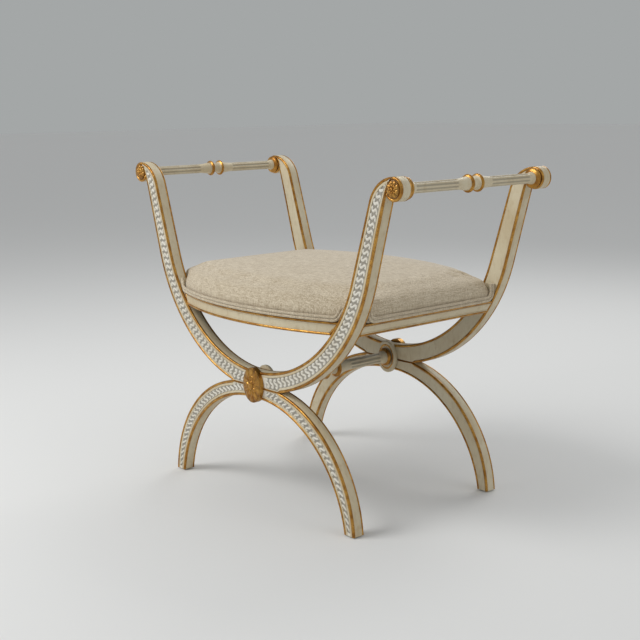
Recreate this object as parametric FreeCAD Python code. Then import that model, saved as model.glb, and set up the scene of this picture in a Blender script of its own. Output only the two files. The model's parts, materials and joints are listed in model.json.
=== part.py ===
# X frame stool with scrolled arms: two moulded X frames, a turned stretcher between
# their crossings, two turned hand rails between their scrolls, and a tight bowed seat.
# Millimetres. X runs along the seat, Y from front to back, Z up. The origin is on the
# floor under the middle of the seat. The right-hand and front pieces are drawn, and the
# others are their mirror images.

import FreeCAD, Part
import math
import os

from FreeCAD import Vector

# X frames: the U that carries the seat and rises to the scrolls
FRAME_DEPTH = 412.0
FRAME_THICKNESS = 28.0
BOWL_RADIUS = 307.0
BAND_WIDTH = 42.0
CROSS_TOP = 278.5
ARM_FLARE = 53.0
ARM_RISE = 82.5
SCROLL_RADIUS = 22.0
NECK_RADIUS = 64.0
NOTCH_ANGLE = 205.0

# X frames: the arched legs
ARCH_TOP = 220.5
LEG_CROWN = 249.0
FOOT_SPREAD = 593.0
FOOT_WIDTH = 28.0
OUTER_TOE_IN = 4.2
INNER_TOE_IN = 9.7

# Mouldings of the X frames
BEAD_WIDTH = 5.5
BEAD_ROUND = 2.4
JOINT_BEAD = 1.5
PANEL_SUNK = 2.0
PANEL_STOP = 31.0

# Carved bosses, drawn plain here
ROSETTE_WIDTH = 58.0
ROSETTE_HEIGHT = 73.0
ROSETTE_WALL = 7.5
ROSETTE_DOME = 5.5
OVAL_SIDES = 18
INNER_BOSS_DEPTH = 8.0
INNER_BOSS_CHAMFER = 2.0
SCROLL_ROSETTE_SIDES = 12
SCROLL_ROSETTE_RADIUS = 15.5
SCROLL_ROSETTE_DOME = 5.5
SPIGOT_LENGTH = 8.0
ROSETTE_DOME_SHAPE = ((0.0, 1.0), (0.6, 0.85), (1.0, 0.45))
SCROLL_DOME_SHAPE = ((0.0, 1.0), (0.6, 0.85), (1.0, 0.4))

# Turned ties
STRETCHER_RADIUS = 12.0
ARM_RAIL_RADIUS = 10.0
TENON_RADIUS = 7.0
TENON_LENGTH = 20.0
TENON_GAP = 0.1
PEG_SIDES = 6
TIE_SIDES = 14
FLUTES = 8
FLUTE_DEPTH = 1.7
FLUTE_LAND = 0.24
FLUTE_HOLLOW = 0.42

# Turnings of the ties, as shares of the body's radius
RING_HALF_WIDTH = 0.34
RING_FLAT = 0.14
RING_RADIUS = 1.72
END_RING_RADIUS = 1.66
RING_SEAT_RADIUS = 1.3
MID_RING_PLACE = 1.3
FLARE_LENGTH = 3.2
COLLAR_RADIUS = 1.22
COLLAR_SLOPE = 0.9
COLLAR_LENGTH = 1.75

# Seat frame
RAIL_BOTTOM = 386.5
RAIL_HEIGHT = 27.0
RAIL_THICKNESS = 24.0
SIDE_RAIL_THICKNESS = 25.0
SEAT_BOW = 44.0
RAIL_BEAD = 4.5
RAIL_PANEL_SUNK = 1.6
RAIL_PANEL_END = 9.0
SIDE_PANEL_SUNK = 1.0
BLOCK_LEG = 52.0
BLOCK_REACH = 65.0
BLOCK_HEIGHT = 18.0
BLOCK_GAP = 0.5

# Joinery and fixings
DOWEL_RADIUS = 4.0
DOWEL_LENGTH = 36.0
CROSS_DOWEL_LENGTH = 24.0
CROSS_DOWEL_PLACE = 0.6
RAIL_DOWEL_PLACES = (0.27, 0.73)
SCREW_RADIUS = 2.0
SCREW_HEAD_RADIUS = 3.8
SCREW_LENGTH = 30.0
SCREW_SIDES = 6
SIDE_SCREW_PLACE = 22.0
FRONT_SCREW_PLACE = 18.0
STAPLE_CROWN = 10.0
STAPLE_WIRE = 0.8
STAPLE_INSET = 6.0
STAPLE_PITCH = 85.0
GLIDE_RADIUS = 9.0
GLIDE_HEIGHT = 2.5
GLIDE_SIDES = 10
GLIDE_FACE_SHARE = 0.85
GLIDE_NAIL_RADIUS = 1.4
GLIDE_NAIL_LENGTH = 16.0

# How far a cutting tool runs past the face that it cuts
CUT_PAST = 1.0

# Upholstery
WEBBING_WIDTH = 50.0
WEBBING_THICKNESS = 1.5
WEBBING_MARGIN = 10.0
WEBBING_PITCH_X = 94.0
WEBBING_PITCH_Y = 108.0
DECK_THICKNESS = 1.0
DECK_MARGIN = 20.0
COVER_THICKNESS = 4.0
FOAM_GAP = 0.3
INSIDE_LEVELS = (0, 1, 2, 4, 6, 9)
BOW_FLATS = 8
TACK_DRAW = 0.5
DRAWN_IN_RUN = 60.0
DRAWN_IN_EXTRA = 0.3
CUSHION_SHOULDER = 467.0
CUSHION_CROWN = 491.0
CUSHION_BULGE = 5.0
PAD_ROUND = 13.0
ARM_CLEARANCE = 0.4
WELT_RADIUS = 3.0
WELT_GAP = 0.3
WELT_LIFT = 0.3
WELT_TURN = 9.0
WELT_RISE = 16.0
WELT_LEAN = 58.0
DUST_COVER_THICKNESS = 0.8
DUST_COVER_MARGIN = 10.0

# Sizes and places worked out from the ones above
WELT_HEIGHT = 4 * WELT_RADIUS
BOWL_CENTRE = (0.0, CROSS_TOP + BOWL_RADIUS)
BOWL_OUTER = BOWL_RADIUS + BAND_WIDTH
SCROLL_CENTRE = (BOWL_OUTER + ARM_FLARE, BOWL_CENTRE[1] + ARM_RISE)
CROSS_CENTRE_Z = (CROSS_TOP + ARCH_TOP) / 2
FACE_Y = FRAME_DEPTH / 2
INNER_Y = FACE_Y - FRAME_THICKNESS
MID_Y = FACE_Y - FRAME_THICKNESS / 2
RAIL_TOP = RAIL_BOTTOM + RAIL_HEIGHT
LEG_OUTER_RADIUS = (LEG_CROWN - GLIDE_HEIGHT) / (1 - math.sin(math.radians(OUTER_TOE_IN)))
LEG_INNER_RADIUS = (ARCH_TOP - GLIDE_HEIGHT) / (1 - math.sin(math.radians(INNER_TOE_IN)))

X_AXIS = Vector(1, 0, 0)
Y_AXIS = Vector(0, 1, 0)
Z_AXIS = Vector(0, 0, 1)


def on_circle(centre, radius, degrees):
    """Point (x, z) on a circle in the frame's plane."""
    turn = math.radians(degrees)
    return (centre[0] + radius * math.cos(turn), centre[1] + radius * math.sin(turn))


LEG_OUTER_CENTRE = on_circle(
    (FOOT_SPREAD / 2, GLIDE_HEIGHT), LEG_OUTER_RADIUS, 180 + OUTER_TOE_IN
)
LEG_INNER_CENTRE = on_circle(
    (FOOT_SPREAD / 2 - FOOT_WIDTH, GLIDE_HEIGHT), LEG_INNER_RADIUS, 180 + INNER_TOE_IN
)


def circles_meet(centre_a, radius_a, centre_b, radius_b):
    """The meeting point of two circles that lies further out along X."""
    dx = centre_b[0] - centre_a[0]
    dz = centre_b[1] - centre_a[1]
    apart = math.hypot(dx, dz)
    along = (radius_a**2 - radius_b**2 + apart**2) / (2 * apart)
    aside = math.sqrt(radius_a**2 - along**2)
    foot = (centre_a[0] + along * dx / apart, centre_a[1] + along * dz / apart)
    ends = [(foot[0] + s * aside * dz / apart, foot[1] - s * aside * dx / apart) for s in (1, -1)]
    return max(ends)


CROTCH = circles_meet(BOWL_CENTRE, BOWL_OUTER, LEG_OUTER_CENTRE, LEG_OUTER_RADIUS)


def bowl_x(radius, z):
    """Half width of a circle about the centre of the U, at height z."""
    return math.sqrt(radius**2 - (z - BOWL_CENTRE[1]) ** 2)


def angle_at_height(centre, radius, z):
    """Angle in degrees of the point of a circle at height z, on its outer side."""
    return math.degrees(math.asin((z - centre[1]) / radius))


def point(place, y=0.0):
    return Vector(place[0], y, place[1])


def line(start, end, y=0.0):
    return Part.makeLine(point(start, y), point(end, y))


def arc(centre, radius, start, end, y=0.0):
    """Arc in a plane of constant y, from one angle to another in degrees."""
    places = [on_circle(centre, radius, a) for a in (start, (start + end) / 2, end)]
    return Part.Arc(*[point(p, y) for p in places]).toShape()


def face(edges):
    return Part.Face(Part.Wire(edges))


def slab(profile, low_y, high_y):
    """A profile at y = 0 made into a solid between two values of y."""
    solid = profile.extrude(Vector(0, high_y - low_y, 0))
    solid.translate(Vector(0, low_y, 0))
    return solid


def ring(centre, direction, across, up, sides):
    """Corners of a ring of equal flats on an ellipse, square to direction."""
    side_axis = Z_AXIS.cross(direction) if abs(direction.z) < 0.5 else X_AXIS
    up_axis = direction.cross(side_axis)
    corners = []
    for number in range(sides):
        turn = 2 * math.pi * (number + 0.5) / sides
        aside = side_axis * (across * math.cos(turn))
        corners.append(centre + aside + up_axis * (up * math.sin(turn)))
    return corners


def flat_face(corners):
    return Part.Face(Part.makePolygon(corners + corners[:1]))


def faceted(rings):
    """Solid through rings of flats, with one flat face between each pair of corners."""
    faces = [flat_face(rings[0]), flat_face(rings[-1])]
    for low, high in zip(rings, rings[1:]):
        for number in range(len(low)):
            following = (number + 1) % len(low)
            faces.append(flat_face([low[number], low[following], high[following], high[number]]))
    solid = Part.Solid(Part.Shell(faces))
    return solid if solid.Volume > 0 else Part.Solid(Part.Shell(faces).reversed())


def turned(radius, start, direction, length, sides=PEG_SIDES):
    """Straight bar of many flats, whose corners lie on the given radius."""
    return flat_face(ring(start, direction, radius, radius, sides)).extrude(direction * length)


def mirrored(shape, axis):
    return shape.mirror(Vector(0, 0, 0), axis)


def stacked(stations, axis_place, sides):
    """Solid along Y through rings of equal flats, from (y, radius) stations."""
    x, z = axis_place
    return faceted([ring(Vector(x, y, z), Y_AXIS, radius, radius, sides) for y, radius in stations])


# Outline of one arm: half of the U, the straight arm and the scroll at its top. The
# straight inner edge is the crossed tangent of the bowl and the neck, and the straight
# outer edge runs from the notch under the scroll, tangent to the bowl.
def lean(reach_to, radii):
    """Angle on the U's circle where a straight edge to that point leaves it."""
    across = (reach_to[0] - BOWL_CENTRE[0], reach_to[1] - BOWL_CENTRE[1])
    return math.degrees(math.atan2(across[1], across[0]) - math.acos(radii / math.hypot(*across)))


NECK_CENTRE = (SCROLL_CENTRE[0], SCROLL_CENTRE[1] + SCROLL_RADIUS - NECK_RADIUS)
NOTCH = on_circle(SCROLL_CENTRE, SCROLL_RADIUS, NOTCH_ANGLE)
INNER_LEAN = lean(NECK_CENTRE, BOWL_RADIUS + NECK_RADIUS)
OUTER_LEAN = lean(NOTCH, BOWL_OUTER)


def arm_inner_edge(inset, start):
    """Edges from the bowl up to the top of the scroll, moved into the wood by inset."""
    radius = BOWL_RADIUS + inset
    neck = NECK_RADIUS - inset
    return [
        arc(BOWL_CENTRE, radius, start, INNER_LEAN),
        line(on_circle(BOWL_CENTRE, radius, INNER_LEAN), on_circle(NECK_CENTRE, neck, 180 + INNER_LEAN)),
        arc(NECK_CENTRE, neck, 180 + INNER_LEAN, 90),
    ]


def arm_lower_edge(inset, bottom, start_x, start):
    """Edges from the outer end of the bowl's arc down to the crossing and back to the start."""
    radius = BOWL_OUTER - inset
    bowl_end = angle_at_height(BOWL_CENTRE, radius, bottom)
    return [
        arc(BOWL_CENTRE, radius, OUTER_LEAN, bowl_end),
        line(on_circle(BOWL_CENTRE, radius, bowl_end), (start_x, bottom)),
        line((start_x, bottom), on_circle(BOWL_CENTRE, BOWL_RADIUS + inset, start)),
    ]


def arm_profile():
    scroll = arc(SCROLL_CENTRE, SCROLL_RADIUS, 90, NOTCH_ANGLE - 360)
    outer = line(NOTCH, on_circle(BOWL_CENTRE, BOWL_OUTER, OUTER_LEAN))
    return face(arm_inner_edge(0.0, -90) + [scroll, outer] + arm_lower_edge(0.0, CROTCH[1], 0.0, -90))


def arm_panel():
    """The sunk panel between the beads, which dies away against the disc of the scroll."""
    inset = BEAD_WIDTH
    start = math.degrees(math.asin(PANEL_STOP / (BOWL_RADIUS + inset))) - 90
    tangent = on_circle(BOWL_CENTRE, BOWL_OUTER - inset, OUTER_LEAN)
    normal = on_circle((0.0, 0.0), 1.0, OUTER_LEAN)
    past = normal[0] * (SCROLL_CENTRE[0] - tangent[0]) + normal[1] * (SCROLL_CENTRE[1] - tangent[1])
    beside_scroll = (SCROLL_CENTRE[0] - past * normal[0], SCROLL_CENTRE[1] - past * normal[1])
    top = on_circle(NECK_CENTRE, NECK_RADIUS - inset, 90)
    closing = [line(top, beside_scroll), line(beside_scroll, tangent)]
    lower = arm_lower_edge(inset, CROTCH[1] + JOINT_BEAD, PANEL_STOP, start)
    band = face(arm_inner_edge(inset, start) + closing + lower)
    disc = Part.Face(Part.Wire(Part.makeCircle(SCROLL_RADIUS, point(SCROLL_CENTRE), Y_AXIS)))
    return max(band.cut(disc).Faces, key=lambda part: part.Area)


# Outline of one leg: half of the arch, from the crossing to the flat foot
def leg_profile(inset=0.0, joint_inset=0.0, start_x=0.0, foot=GLIDE_HEIGHT):
    outer = LEG_OUTER_RADIUS - inset
    inner = LEG_INNER_RADIUS + inset
    top = min(CROTCH[1] - joint_inset, LEG_OUTER_CENTRE[1] + outer)
    top_angle = angle_at_height(LEG_OUTER_CENTRE, outer, top)
    outer_foot = angle_at_height(LEG_OUTER_CENTRE, outer, foot)
    inner_foot = angle_at_height(LEG_INNER_CENTRE, inner, foot)
    inner_end = math.degrees(math.acos((start_x - LEG_INNER_CENTRE[0]) / inner))
    return face([
        line((start_x, top), on_circle(LEG_OUTER_CENTRE, outer, top_angle)),
        arc(LEG_OUTER_CENTRE, outer, top_angle, outer_foot),
        line(
            on_circle(LEG_OUTER_CENTRE, outer, outer_foot),
            on_circle(LEG_INNER_CENTRE, inner, inner_foot),
        ),
        arc(LEG_INNER_CENTRE, inner, inner_foot, inner_end),
        line(on_circle(LEG_INNER_CENTRE, inner, inner_end), (start_x, top)),
    ])


def is_moulded_edge(edge, outline):
    """True for an edge of a member's outer face that is not at a glued joint or a foot."""
    box = edge.BoundBox
    if box.YLength > 0.01 or abs(box.YMin + FACE_Y) > 0.01:
        return False
    if box.XMax < 0.01 or (box.ZLength < 0.01 and box.XLength > 1.0):
        return False
    middle = edge.valueAt((edge.FirstParameter + edge.LastParameter) / 2)
    middle.y = 0.0
    return outline.distToShape(Part.Vertex(middle))[0] < 0.01


# One front member: a plank with a rounded bead along the long edges of its outer face
# and a sunk panel between them
def moulded_member(profile, panel):
    body = slab(profile, -FACE_Y, -INNER_Y)
    body = body.cut(slab(panel, -FACE_Y - CUT_PAST, -FACE_Y + PANEL_SUNK))
    outline = profile.OuterWire
    edges = [e for e in body.Edges if is_moulded_edge(e, outline)]
    return body.makeChamfer(BEAD_ROUND, edges)


def arm_member():
    return moulded_member(arm_profile(), arm_panel())


def leg_member():
    panel = leg_profile(BEAD_WIDTH, JOINT_BEAD, PANEL_STOP, foot=0.0)
    return moulded_member(leg_profile(), panel)


# Plain oval boss: the ground of the carved rosettes and the collar of the stretcher
def oval_stack(stations):
    half_width = ROSETTE_WIDTH / 2
    half_height = ROSETTE_HEIGHT / 2
    return faceted([
        ring(Vector(0, y, CROSS_CENTRE_Z), Y_AXIS, share * half_width, share * half_height, OVAL_SIDES)
        for y, share in stations
    ])


def cross_rosette():
    top = -FACE_Y - ROSETTE_WALL
    dome = [(top - rise * ROSETTE_DOME, share) for rise, share in ROSETTE_DOME_SHAPE]
    body = oval_stack([(-FACE_Y, 1.0)] + dome)
    start = Vector(0, -FACE_Y - CUT_PAST, CROSS_CENTRE_Z)
    return body.fuse(turned(TENON_RADIUS, start, Y_AXIS, SPIGOT_LENGTH + CUT_PAST))


def inner_boss():
    end = INNER_BOSS_DEPTH - INNER_Y
    end_share = 1 - 2 * INNER_BOSS_CHAMFER / ROSETTE_WIDTH
    boss = oval_stack([(-INNER_Y, 1.0), (end - INNER_BOSS_CHAMFER, 1.0), (end, end_share)])
    start = Vector(0, -INNER_Y - CUT_PAST, CROSS_CENTRE_Z)
    return boss.cut(turned(TENON_RADIUS + TENON_GAP, start, Y_AXIS, INNER_BOSS_DEPTH + 2 * CUT_PAST))


# Domed scroll rosette with a spigot that enters the scroll
def scroll_rosette():
    dome = [
        (-FACE_Y - rise * SCROLL_ROSETTE_DOME, share * SCROLL_ROSETTE_RADIUS)
        for rise, share in SCROLL_DOME_SHAPE
    ]
    body = stacked(dome, SCROLL_CENTRE, SCROLL_ROSETTE_SIDES)
    start = Vector(SCROLL_CENTRE[0], -FACE_Y - CUT_PAST, SCROLL_CENTRE[1])
    return body.fuse(turned(TENON_RADIUS, start, Y_AXIS, SPIGOT_LENGTH + CUT_PAST))


# Half of a turned tie, from its middle to the end of its tenon: a neck between two
# rings, a flare, a fluted body, and a collar and a ring against the frame
def ring_stations(middle_y, radius, before, peak, after):
    """Stations of one ring: it rises from one radius to its flat top and falls to another."""
    half_width = RING_HALF_WIDTH * radius
    flat = RING_FLAT * radius
    return [
        (middle_y - half_width, before * radius),
        (middle_y - flat, peak * radius),
        (middle_y + flat, peak * radius),
        (middle_y + half_width, after * radius),
    ]


def turned_tie(radius, half_length, tenon, axis_place):
    mid_ring_y = MID_RING_PLACE * radius
    end_ring_y = half_length - RING_HALF_WIDTH * radius
    body_start = mid_ring_y + FLARE_LENGTH * radius
    body_end = half_length - COLLAR_LENGTH * radius
    mid_ring = ring_stations(mid_ring_y, radius, 1.0, RING_RADIUS, RING_SEAT_RADIUS)
    end_ring = ring_stations(end_ring_y, radius, COLLAR_RADIUS, END_RING_RADIUS, RING_SEAT_RADIUS)
    collar = [(body_end, radius), (body_end + COLLAR_SLOPE * radius, COLLAR_RADIUS * radius)]
    middle = stacked([(0.0, radius)] + mid_ring + [(body_start, radius)], axis_place, TIE_SIDES)
    end = stacked(collar + end_ring, axis_place, TIE_SIDES)
    body = flat_face(fluted_ring(radius, axis_place, body_start)).extrude(Y_AXIS * (body_end - body_start))
    peg = turned(TENON_RADIUS, Vector(axis_place[0], half_length, axis_place[1]), Y_AXIS, tenon)
    half_tie = middle.fuse([body, end, peg])
    return half_tie.fuse(mirrored(half_tie, Y_AXIS)).removeSplitter()


def fluted_ring(radius, axis_place, y):
    """Outline of the fluted body: narrow lands with a shallow hollow between each pair."""
    hollow = radius - FLUTE_DEPTH
    slope = (1 - FLUTE_LAND - FLUTE_HOLLOW) / 2
    shape = ((0.0, radius), (FLUTE_LAND, radius), (FLUTE_LAND + slope, hollow), (1 - slope, hollow))
    corners = []
    for number in range(FLUTES):
        for share, reach in shape:
            turn = 2 * math.pi * (number + share) / FLUTES
            x = axis_place[0] + reach * math.cos(turn)
            z = axis_place[1] + reach * math.sin(turn)
            corners.append(Vector(x, y, z))
    return corners


# Bowed front rail, seen from above: its outer face is an arc that meets the frame's
# face at the arms and stands SEAT_BOW beyond it in the middle
RAIL_MEETS_X = bowl_x(BOWL_RADIUS, RAIL_BOTTOM)
BOW_RADIUS = (RAIL_MEETS_X**2 + SEAT_BOW**2) / (2 * SEAT_BOW)
BOW_CENTRE_Y = BOW_RADIUS - FACE_Y - SEAT_BOW


def bow_y(radius, x):
    """Depth of the front bow of the given radius at x; the front is negative."""
    return BOW_CENTRE_Y - math.sqrt(radius**2 - x**2)


def bowed_band(outer, inner, half_x, low_z, high_z):
    """Solid between two concentric bows, |x| under half_x and between two heights."""
    ends = [Vector(s * half_x, bow_y(r, half_x), low_z) for r in (outer, inner) for s in (-1, 1)]
    edges = [
        Part.Arc(ends[0], Vector(0, bow_y(outer, 0), low_z), ends[1]).toShape(),
        Part.makeLine(ends[1], ends[3]),
        Part.Arc(ends[3], Vector(0, bow_y(inner, 0), low_z), ends[2]).toShape(),
        Part.makeLine(ends[2], ends[0]),
    ]
    return face(edges).extrude(Vector(0, 0, high_z - low_z))


def front_rail():
    half_x = bowl_x(BOWL_RADIUS, RAIL_TOP) + BAND_WIDTH / 4
    rail = bowed_band(BOW_RADIUS, BOW_RADIUS - RAIL_THICKNESS, half_x, RAIL_BOTTOM, RAIL_TOP)
    lower_bowl = face([
        arc(BOWL_CENTRE, BOWL_RADIUS, -150, -30),
        line(on_circle(BOWL_CENTRE, BOWL_RADIUS, -30), on_circle(BOWL_CENTRE, BOWL_RADIUS, -150)),
    ])
    rail = rail.common(slab(lower_bowl, -FACE_Y - 2 * SEAT_BOW, 0))
    panel_x = RAIL_MEETS_X - RAIL_PANEL_END
    floor_radius = BOW_RADIUS - RAIL_PANEL_SUNK
    low_z = RAIL_BOTTOM + RAIL_BEAD
    return rail.cut(bowed_band(BOW_RADIUS + CUT_PAST, floor_radius, panel_x, low_z, RAIL_TOP - RAIL_BEAD))


# Side rail: its outer face carries on the curve of the arms' outer edge
SIDE_RAIL_INNER_X = bowl_x(BOWL_OUTER, RAIL_BOTTOM) - SIDE_RAIL_THICKNESS


def right_rail():
    low = angle_at_height(BOWL_CENTRE, BOWL_OUTER, RAIL_BOTTOM)
    high = angle_at_height(BOWL_CENTRE, BOWL_OUTER, RAIL_TOP)
    bottom = on_circle(BOWL_CENTRE, BOWL_OUTER, low)
    top = on_circle(BOWL_CENTRE, BOWL_OUTER, high)
    section = face([
        arc(BOWL_CENTRE, BOWL_OUTER, low, high),
        line(top, (SIDE_RAIL_INNER_X, RAIL_TOP)),
        line((SIDE_RAIL_INNER_X, RAIL_TOP), (SIDE_RAIL_INNER_X, RAIL_BOTTOM)),
        line((SIDE_RAIL_INNER_X, RAIL_BOTTOM), bottom),
    ])
    rail = slab(section, -INNER_Y, INNER_Y)
    sunk = BOWL_OUTER - SIDE_PANEL_SUNK
    proud = BOWL_OUTER + CUT_PAST
    low = angle_at_height(BOWL_CENTRE, BOWL_OUTER, RAIL_BOTTOM + RAIL_BEAD)
    high = angle_at_height(BOWL_CENTRE, BOWL_OUTER, RAIL_TOP - RAIL_BEAD)
    panel = face([
        arc(BOWL_CENTRE, sunk, low, high),
        line(on_circle(BOWL_CENTRE, sunk, high), on_circle(BOWL_CENTRE, proud, high)),
        arc(BOWL_CENTRE, proud, high, low),
        line(on_circle(BOWL_CENTRE, proud, low), on_circle(BOWL_CENTRE, sunk, low)),
    ])
    return rail.cut(slab(panel, -INNER_Y - CUT_PAST, INNER_Y + CUT_PAST))


# Dowels: plain pins, half in one piece and half in its neighbour
def cross_dowels():
    arm_z = (CROSS_TOP + CROSS_CENTRE_Z + TENON_RADIUS) / 2
    leg_z = (ARCH_TOP + CROSS_CENTRE_Z - TENON_RADIUS) / 2
    pins = [
        turned(DOWEL_RADIUS, Vector(-DOWEL_LENGTH / 2, -MID_Y, z), X_AXIS, DOWEL_LENGTH)
        for z in (arm_z, leg_z)
    ]
    upright_x = CROSS_DOWEL_PLACE * CROTCH[0]
    for x in (-upright_x, upright_x):
        start = Vector(x, -MID_Y, CROTCH[1] - CROSS_DOWEL_LENGTH / 2)
        pins.append(turned(DOWEL_RADIUS, start, Z_AXIS, CROSS_DOWEL_LENGTH))
    return pins


def front_rail_dowels():
    pins = []
    y = bow_y(BOW_RADIUS - RAIL_THICKNESS / 2, RAIL_MEETS_X)
    for share in RAIL_DOWEL_PLACES:
        z = RAIL_BOTTOM + share * RAIL_HEIGHT
        x = bowl_x(BOWL_RADIUS, z) - DOWEL_LENGTH / 2
        pins.append(turned(DOWEL_RADIUS, Vector(x, y, z), X_AXIS, DOWEL_LENGTH))
        pins.append(turned(DOWEL_RADIUS, Vector(-x, y, z), -X_AXIS, DOWEL_LENGTH))
    return pins


def right_rail_dowels():
    z = (RAIL_BOTTOM + RAIL_TOP) / 2
    x = bowl_x(BOWL_OUTER, z) - 2 * DOWEL_RADIUS
    return [
        turned(DOWEL_RADIUS, Vector(x, y - DOWEL_LENGTH / 2, z), Y_AXIS, DOWEL_LENGTH)
        for y in (-INNER_Y, INNER_Y)
    ]


# Glue block in a corner of the seat frame. Its long side is a straight cut from the
# front rail to the side rail, and a screw goes into each rail.
BLOCK_LOW_Z = (RAIL_BOTTOM + RAIL_TOP - BLOCK_HEIGHT) / 2
BLOCK_FAR_X = SIDE_RAIL_INNER_X - BLOCK_REACH
BLOCK_FAR_Y = bow_y(BOW_RADIUS - RAIL_THICKNESS, BLOCK_FAR_X)
BLOCK_NEAR_Y = BLOCK_LEG - INNER_Y


def corner_block():
    z = BLOCK_LOW_Z
    inner = BOW_RADIUS - RAIL_THICKNESS
    arm_x = bowl_x(BOWL_RADIUS, z) - BLOCK_GAP
    middle_x = (arm_x + BLOCK_FAR_X) / 2
    corners = [
        Vector(SIDE_RAIL_INNER_X, -INNER_Y, z),
        Vector(arm_x, -INNER_Y, z),
        Vector(arm_x, bow_y(inner, arm_x), z),
        Vector(BLOCK_FAR_X, BLOCK_FAR_Y, z),
        Vector(SIDE_RAIL_INNER_X, BLOCK_NEAR_Y, z),
    ]
    plan = [
        Part.makeLine(corners[0], corners[1]),
        Part.makeLine(corners[1], corners[2]),
        Part.Arc(corners[2], Vector(middle_x, bow_y(inner, middle_x), z), corners[3]).toShape(),
        Part.makeLine(corners[3], corners[4]),
        Part.makeLine(corners[4], corners[0]),
    ]
    return face(plan).extrude(Vector(0, 0, BLOCK_HEIGHT))


def wood_screw(start, direction):
    cone_length = SCREW_HEAD_RADIUS - SCREW_RADIUS
    stations = ((0.0, SCREW_HEAD_RADIUS), (cone_length, SCREW_RADIUS), (SCREW_LENGTH, SCREW_RADIUS))
    return faceted([
        ring(start + direction * along, direction, radius, radius, SCREW_SIDES)
        for along, radius in stations
    ])


def corner_screws():
    z = (RAIL_BOTTOM + RAIL_TOP) / 2
    slope = (SIDE_RAIL_INNER_X - BLOCK_FAR_X) / (BLOCK_NEAR_Y - BLOCK_FAR_Y)
    side_y = BLOCK_NEAR_Y - SIDE_SCREW_PLACE
    side_x = SIDE_RAIL_INNER_X - slope * (BLOCK_NEAR_Y - side_y)
    front_x = BLOCK_FAR_X + FRONT_SCREW_PLACE
    front_y = BLOCK_FAR_Y + (front_x - BLOCK_FAR_X) / slope
    return [
        wood_screw(Vector(side_x - CUT_PAST, side_y, z), X_AXIS),
        wood_screw(Vector(front_x, front_y + CUT_PAST, z), -Y_AXIS),
    ]


# Nail glide under a foot
def foot_glide():
    foot_x = FOOT_SPREAD / 2 - FOOT_WIDTH / 2
    disc = faceted([
        ring(Vector(foot_x, -MID_Y, z), Z_AXIS, radius, radius, GLIDE_SIDES)
        for z, radius in ((0.0, GLIDE_FACE_SHARE * GLIDE_RADIUS), (GLIDE_HEIGHT, GLIDE_RADIUS))
    ])
    start = Vector(foot_x, -MID_Y, GLIDE_HEIGHT / 2)
    return disc.fuse(turned(GLIDE_NAIL_RADIUS, start, Z_AXIS, GLIDE_NAIL_LENGTH, SCREW_SIDES))


# Plan of the seat: the sides follow the arms' outer edge, the front and back the bow
SEAT_HALF_X = bowl_x(BOWL_OUTER, RAIL_TOP)
SEAT_MID_Y = -bow_y(BOW_RADIUS, 0.0)


def bowed_plan(radius, half_x, z):
    """Corners of a plan of the seat: bowed front and back, straight sides."""
    spread = math.asin(half_x / radius)
    front = []
    for number in range(BOW_FLATS + 1):
        turn = spread * (2 * number / BOW_FLATS - 1)
        front.append(Vector(radius * math.sin(turn), BOW_CENTRE_Y - radius * math.cos(turn), z))
    return front + [Vector(-corner.x, -corner.y, z) for corner in front]


def seat_plate(low_z, thickness, margin, arm_gap):
    """Thin sheet over the seat frame, drawn in from its faces and notched round the arms."""
    half_x = bowl_x(BOWL_OUTER, low_z) - margin
    sheet = flat_face(bowed_plan(BOW_RADIUS - margin, half_x, low_z)).extrude(Z_AXIS * thickness)
    corner_x = bowl_x(BOWL_RADIUS, low_z) - arm_gap
    corner_y = INNER_Y - arm_gap
    corner = Vector(corner_x, -corner_y - SEAT_MID_Y, low_z - CUT_PAST)
    notch = Part.makeBox(SEAT_HALF_X, SEAT_MID_Y, thickness + 2 * CUT_PAST, corner)
    return sheet.cut(four_corners([notch]))


# Webbing strips: the long ones lie over the cross ones, on top of the rails
def webbing():
    strips = []
    for number in range(-2, 3):
        x = number * WEBBING_PITCH_X
        reach = -bow_y(BOW_RADIUS, abs(x) + WEBBING_WIDTH / 2) - WEBBING_MARGIN
        corner = Vector(x - WEBBING_WIDTH / 2, -reach, RAIL_TOP)
        strips.append(Part.makeBox(WEBBING_WIDTH, 2 * reach, WEBBING_THICKNESS, corner))
    reach = SEAT_HALF_X - WEBBING_MARGIN
    for number in range(-1, 2):
        corner = Vector(-reach, number * WEBBING_PITCH_Y - WEBBING_WIDTH / 2, RAIL_TOP + WEBBING_THICKNESS)
        strips.append(Part.makeBox(2 * reach, WEBBING_WIDTH, WEBBING_THICKNESS, corner))
    return strips


def staple(x, y, low_z, across_x):
    """Crown of one staple, lying along X or along Y."""
    size_x = STAPLE_CROWN if across_x else STAPLE_WIRE
    size_y = STAPLE_WIRE if across_x else STAPLE_CROWN
    return Part.makeBox(size_x, size_y, STAPLE_WIRE, Vector(x - size_x / 2, y - size_y / 2, low_z))


def webbing_staples(strips):
    """A staple across each end of each strip."""
    staples = []
    for strip in strips:
        box = strip.BoundBox
        across_x = box.YLength > box.XLength
        for side in (-1, 1):
            if across_x:
                x = box.Center.x
                y = side * (box.YLength / 2 - STAPLE_INSET)
            else:
                x = side * (box.XLength / 2 - STAPLE_INSET)
                y = box.Center.y
            staples.append(staple(x, y, box.ZMax, across_x))
    return staples


# The pad, level by level: the bowed plan is drawn in at the tack line, full at mid
# height, rounded over the shoulder and crowned in the middle
def plan_ring(share, z):
    """Corners of the seat's plan, scaled about its middle."""
    return [Vector(share * c.x, share * c.y, z) for c in bowed_plan(BOW_RADIUS, SEAT_HALF_X, z)]


def pad_form(inset, levels):
    shrink = inset / SEAT_HALF_X
    return faceted([plan_ring(share - shrink, z - inset) for z, share in levels])


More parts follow.
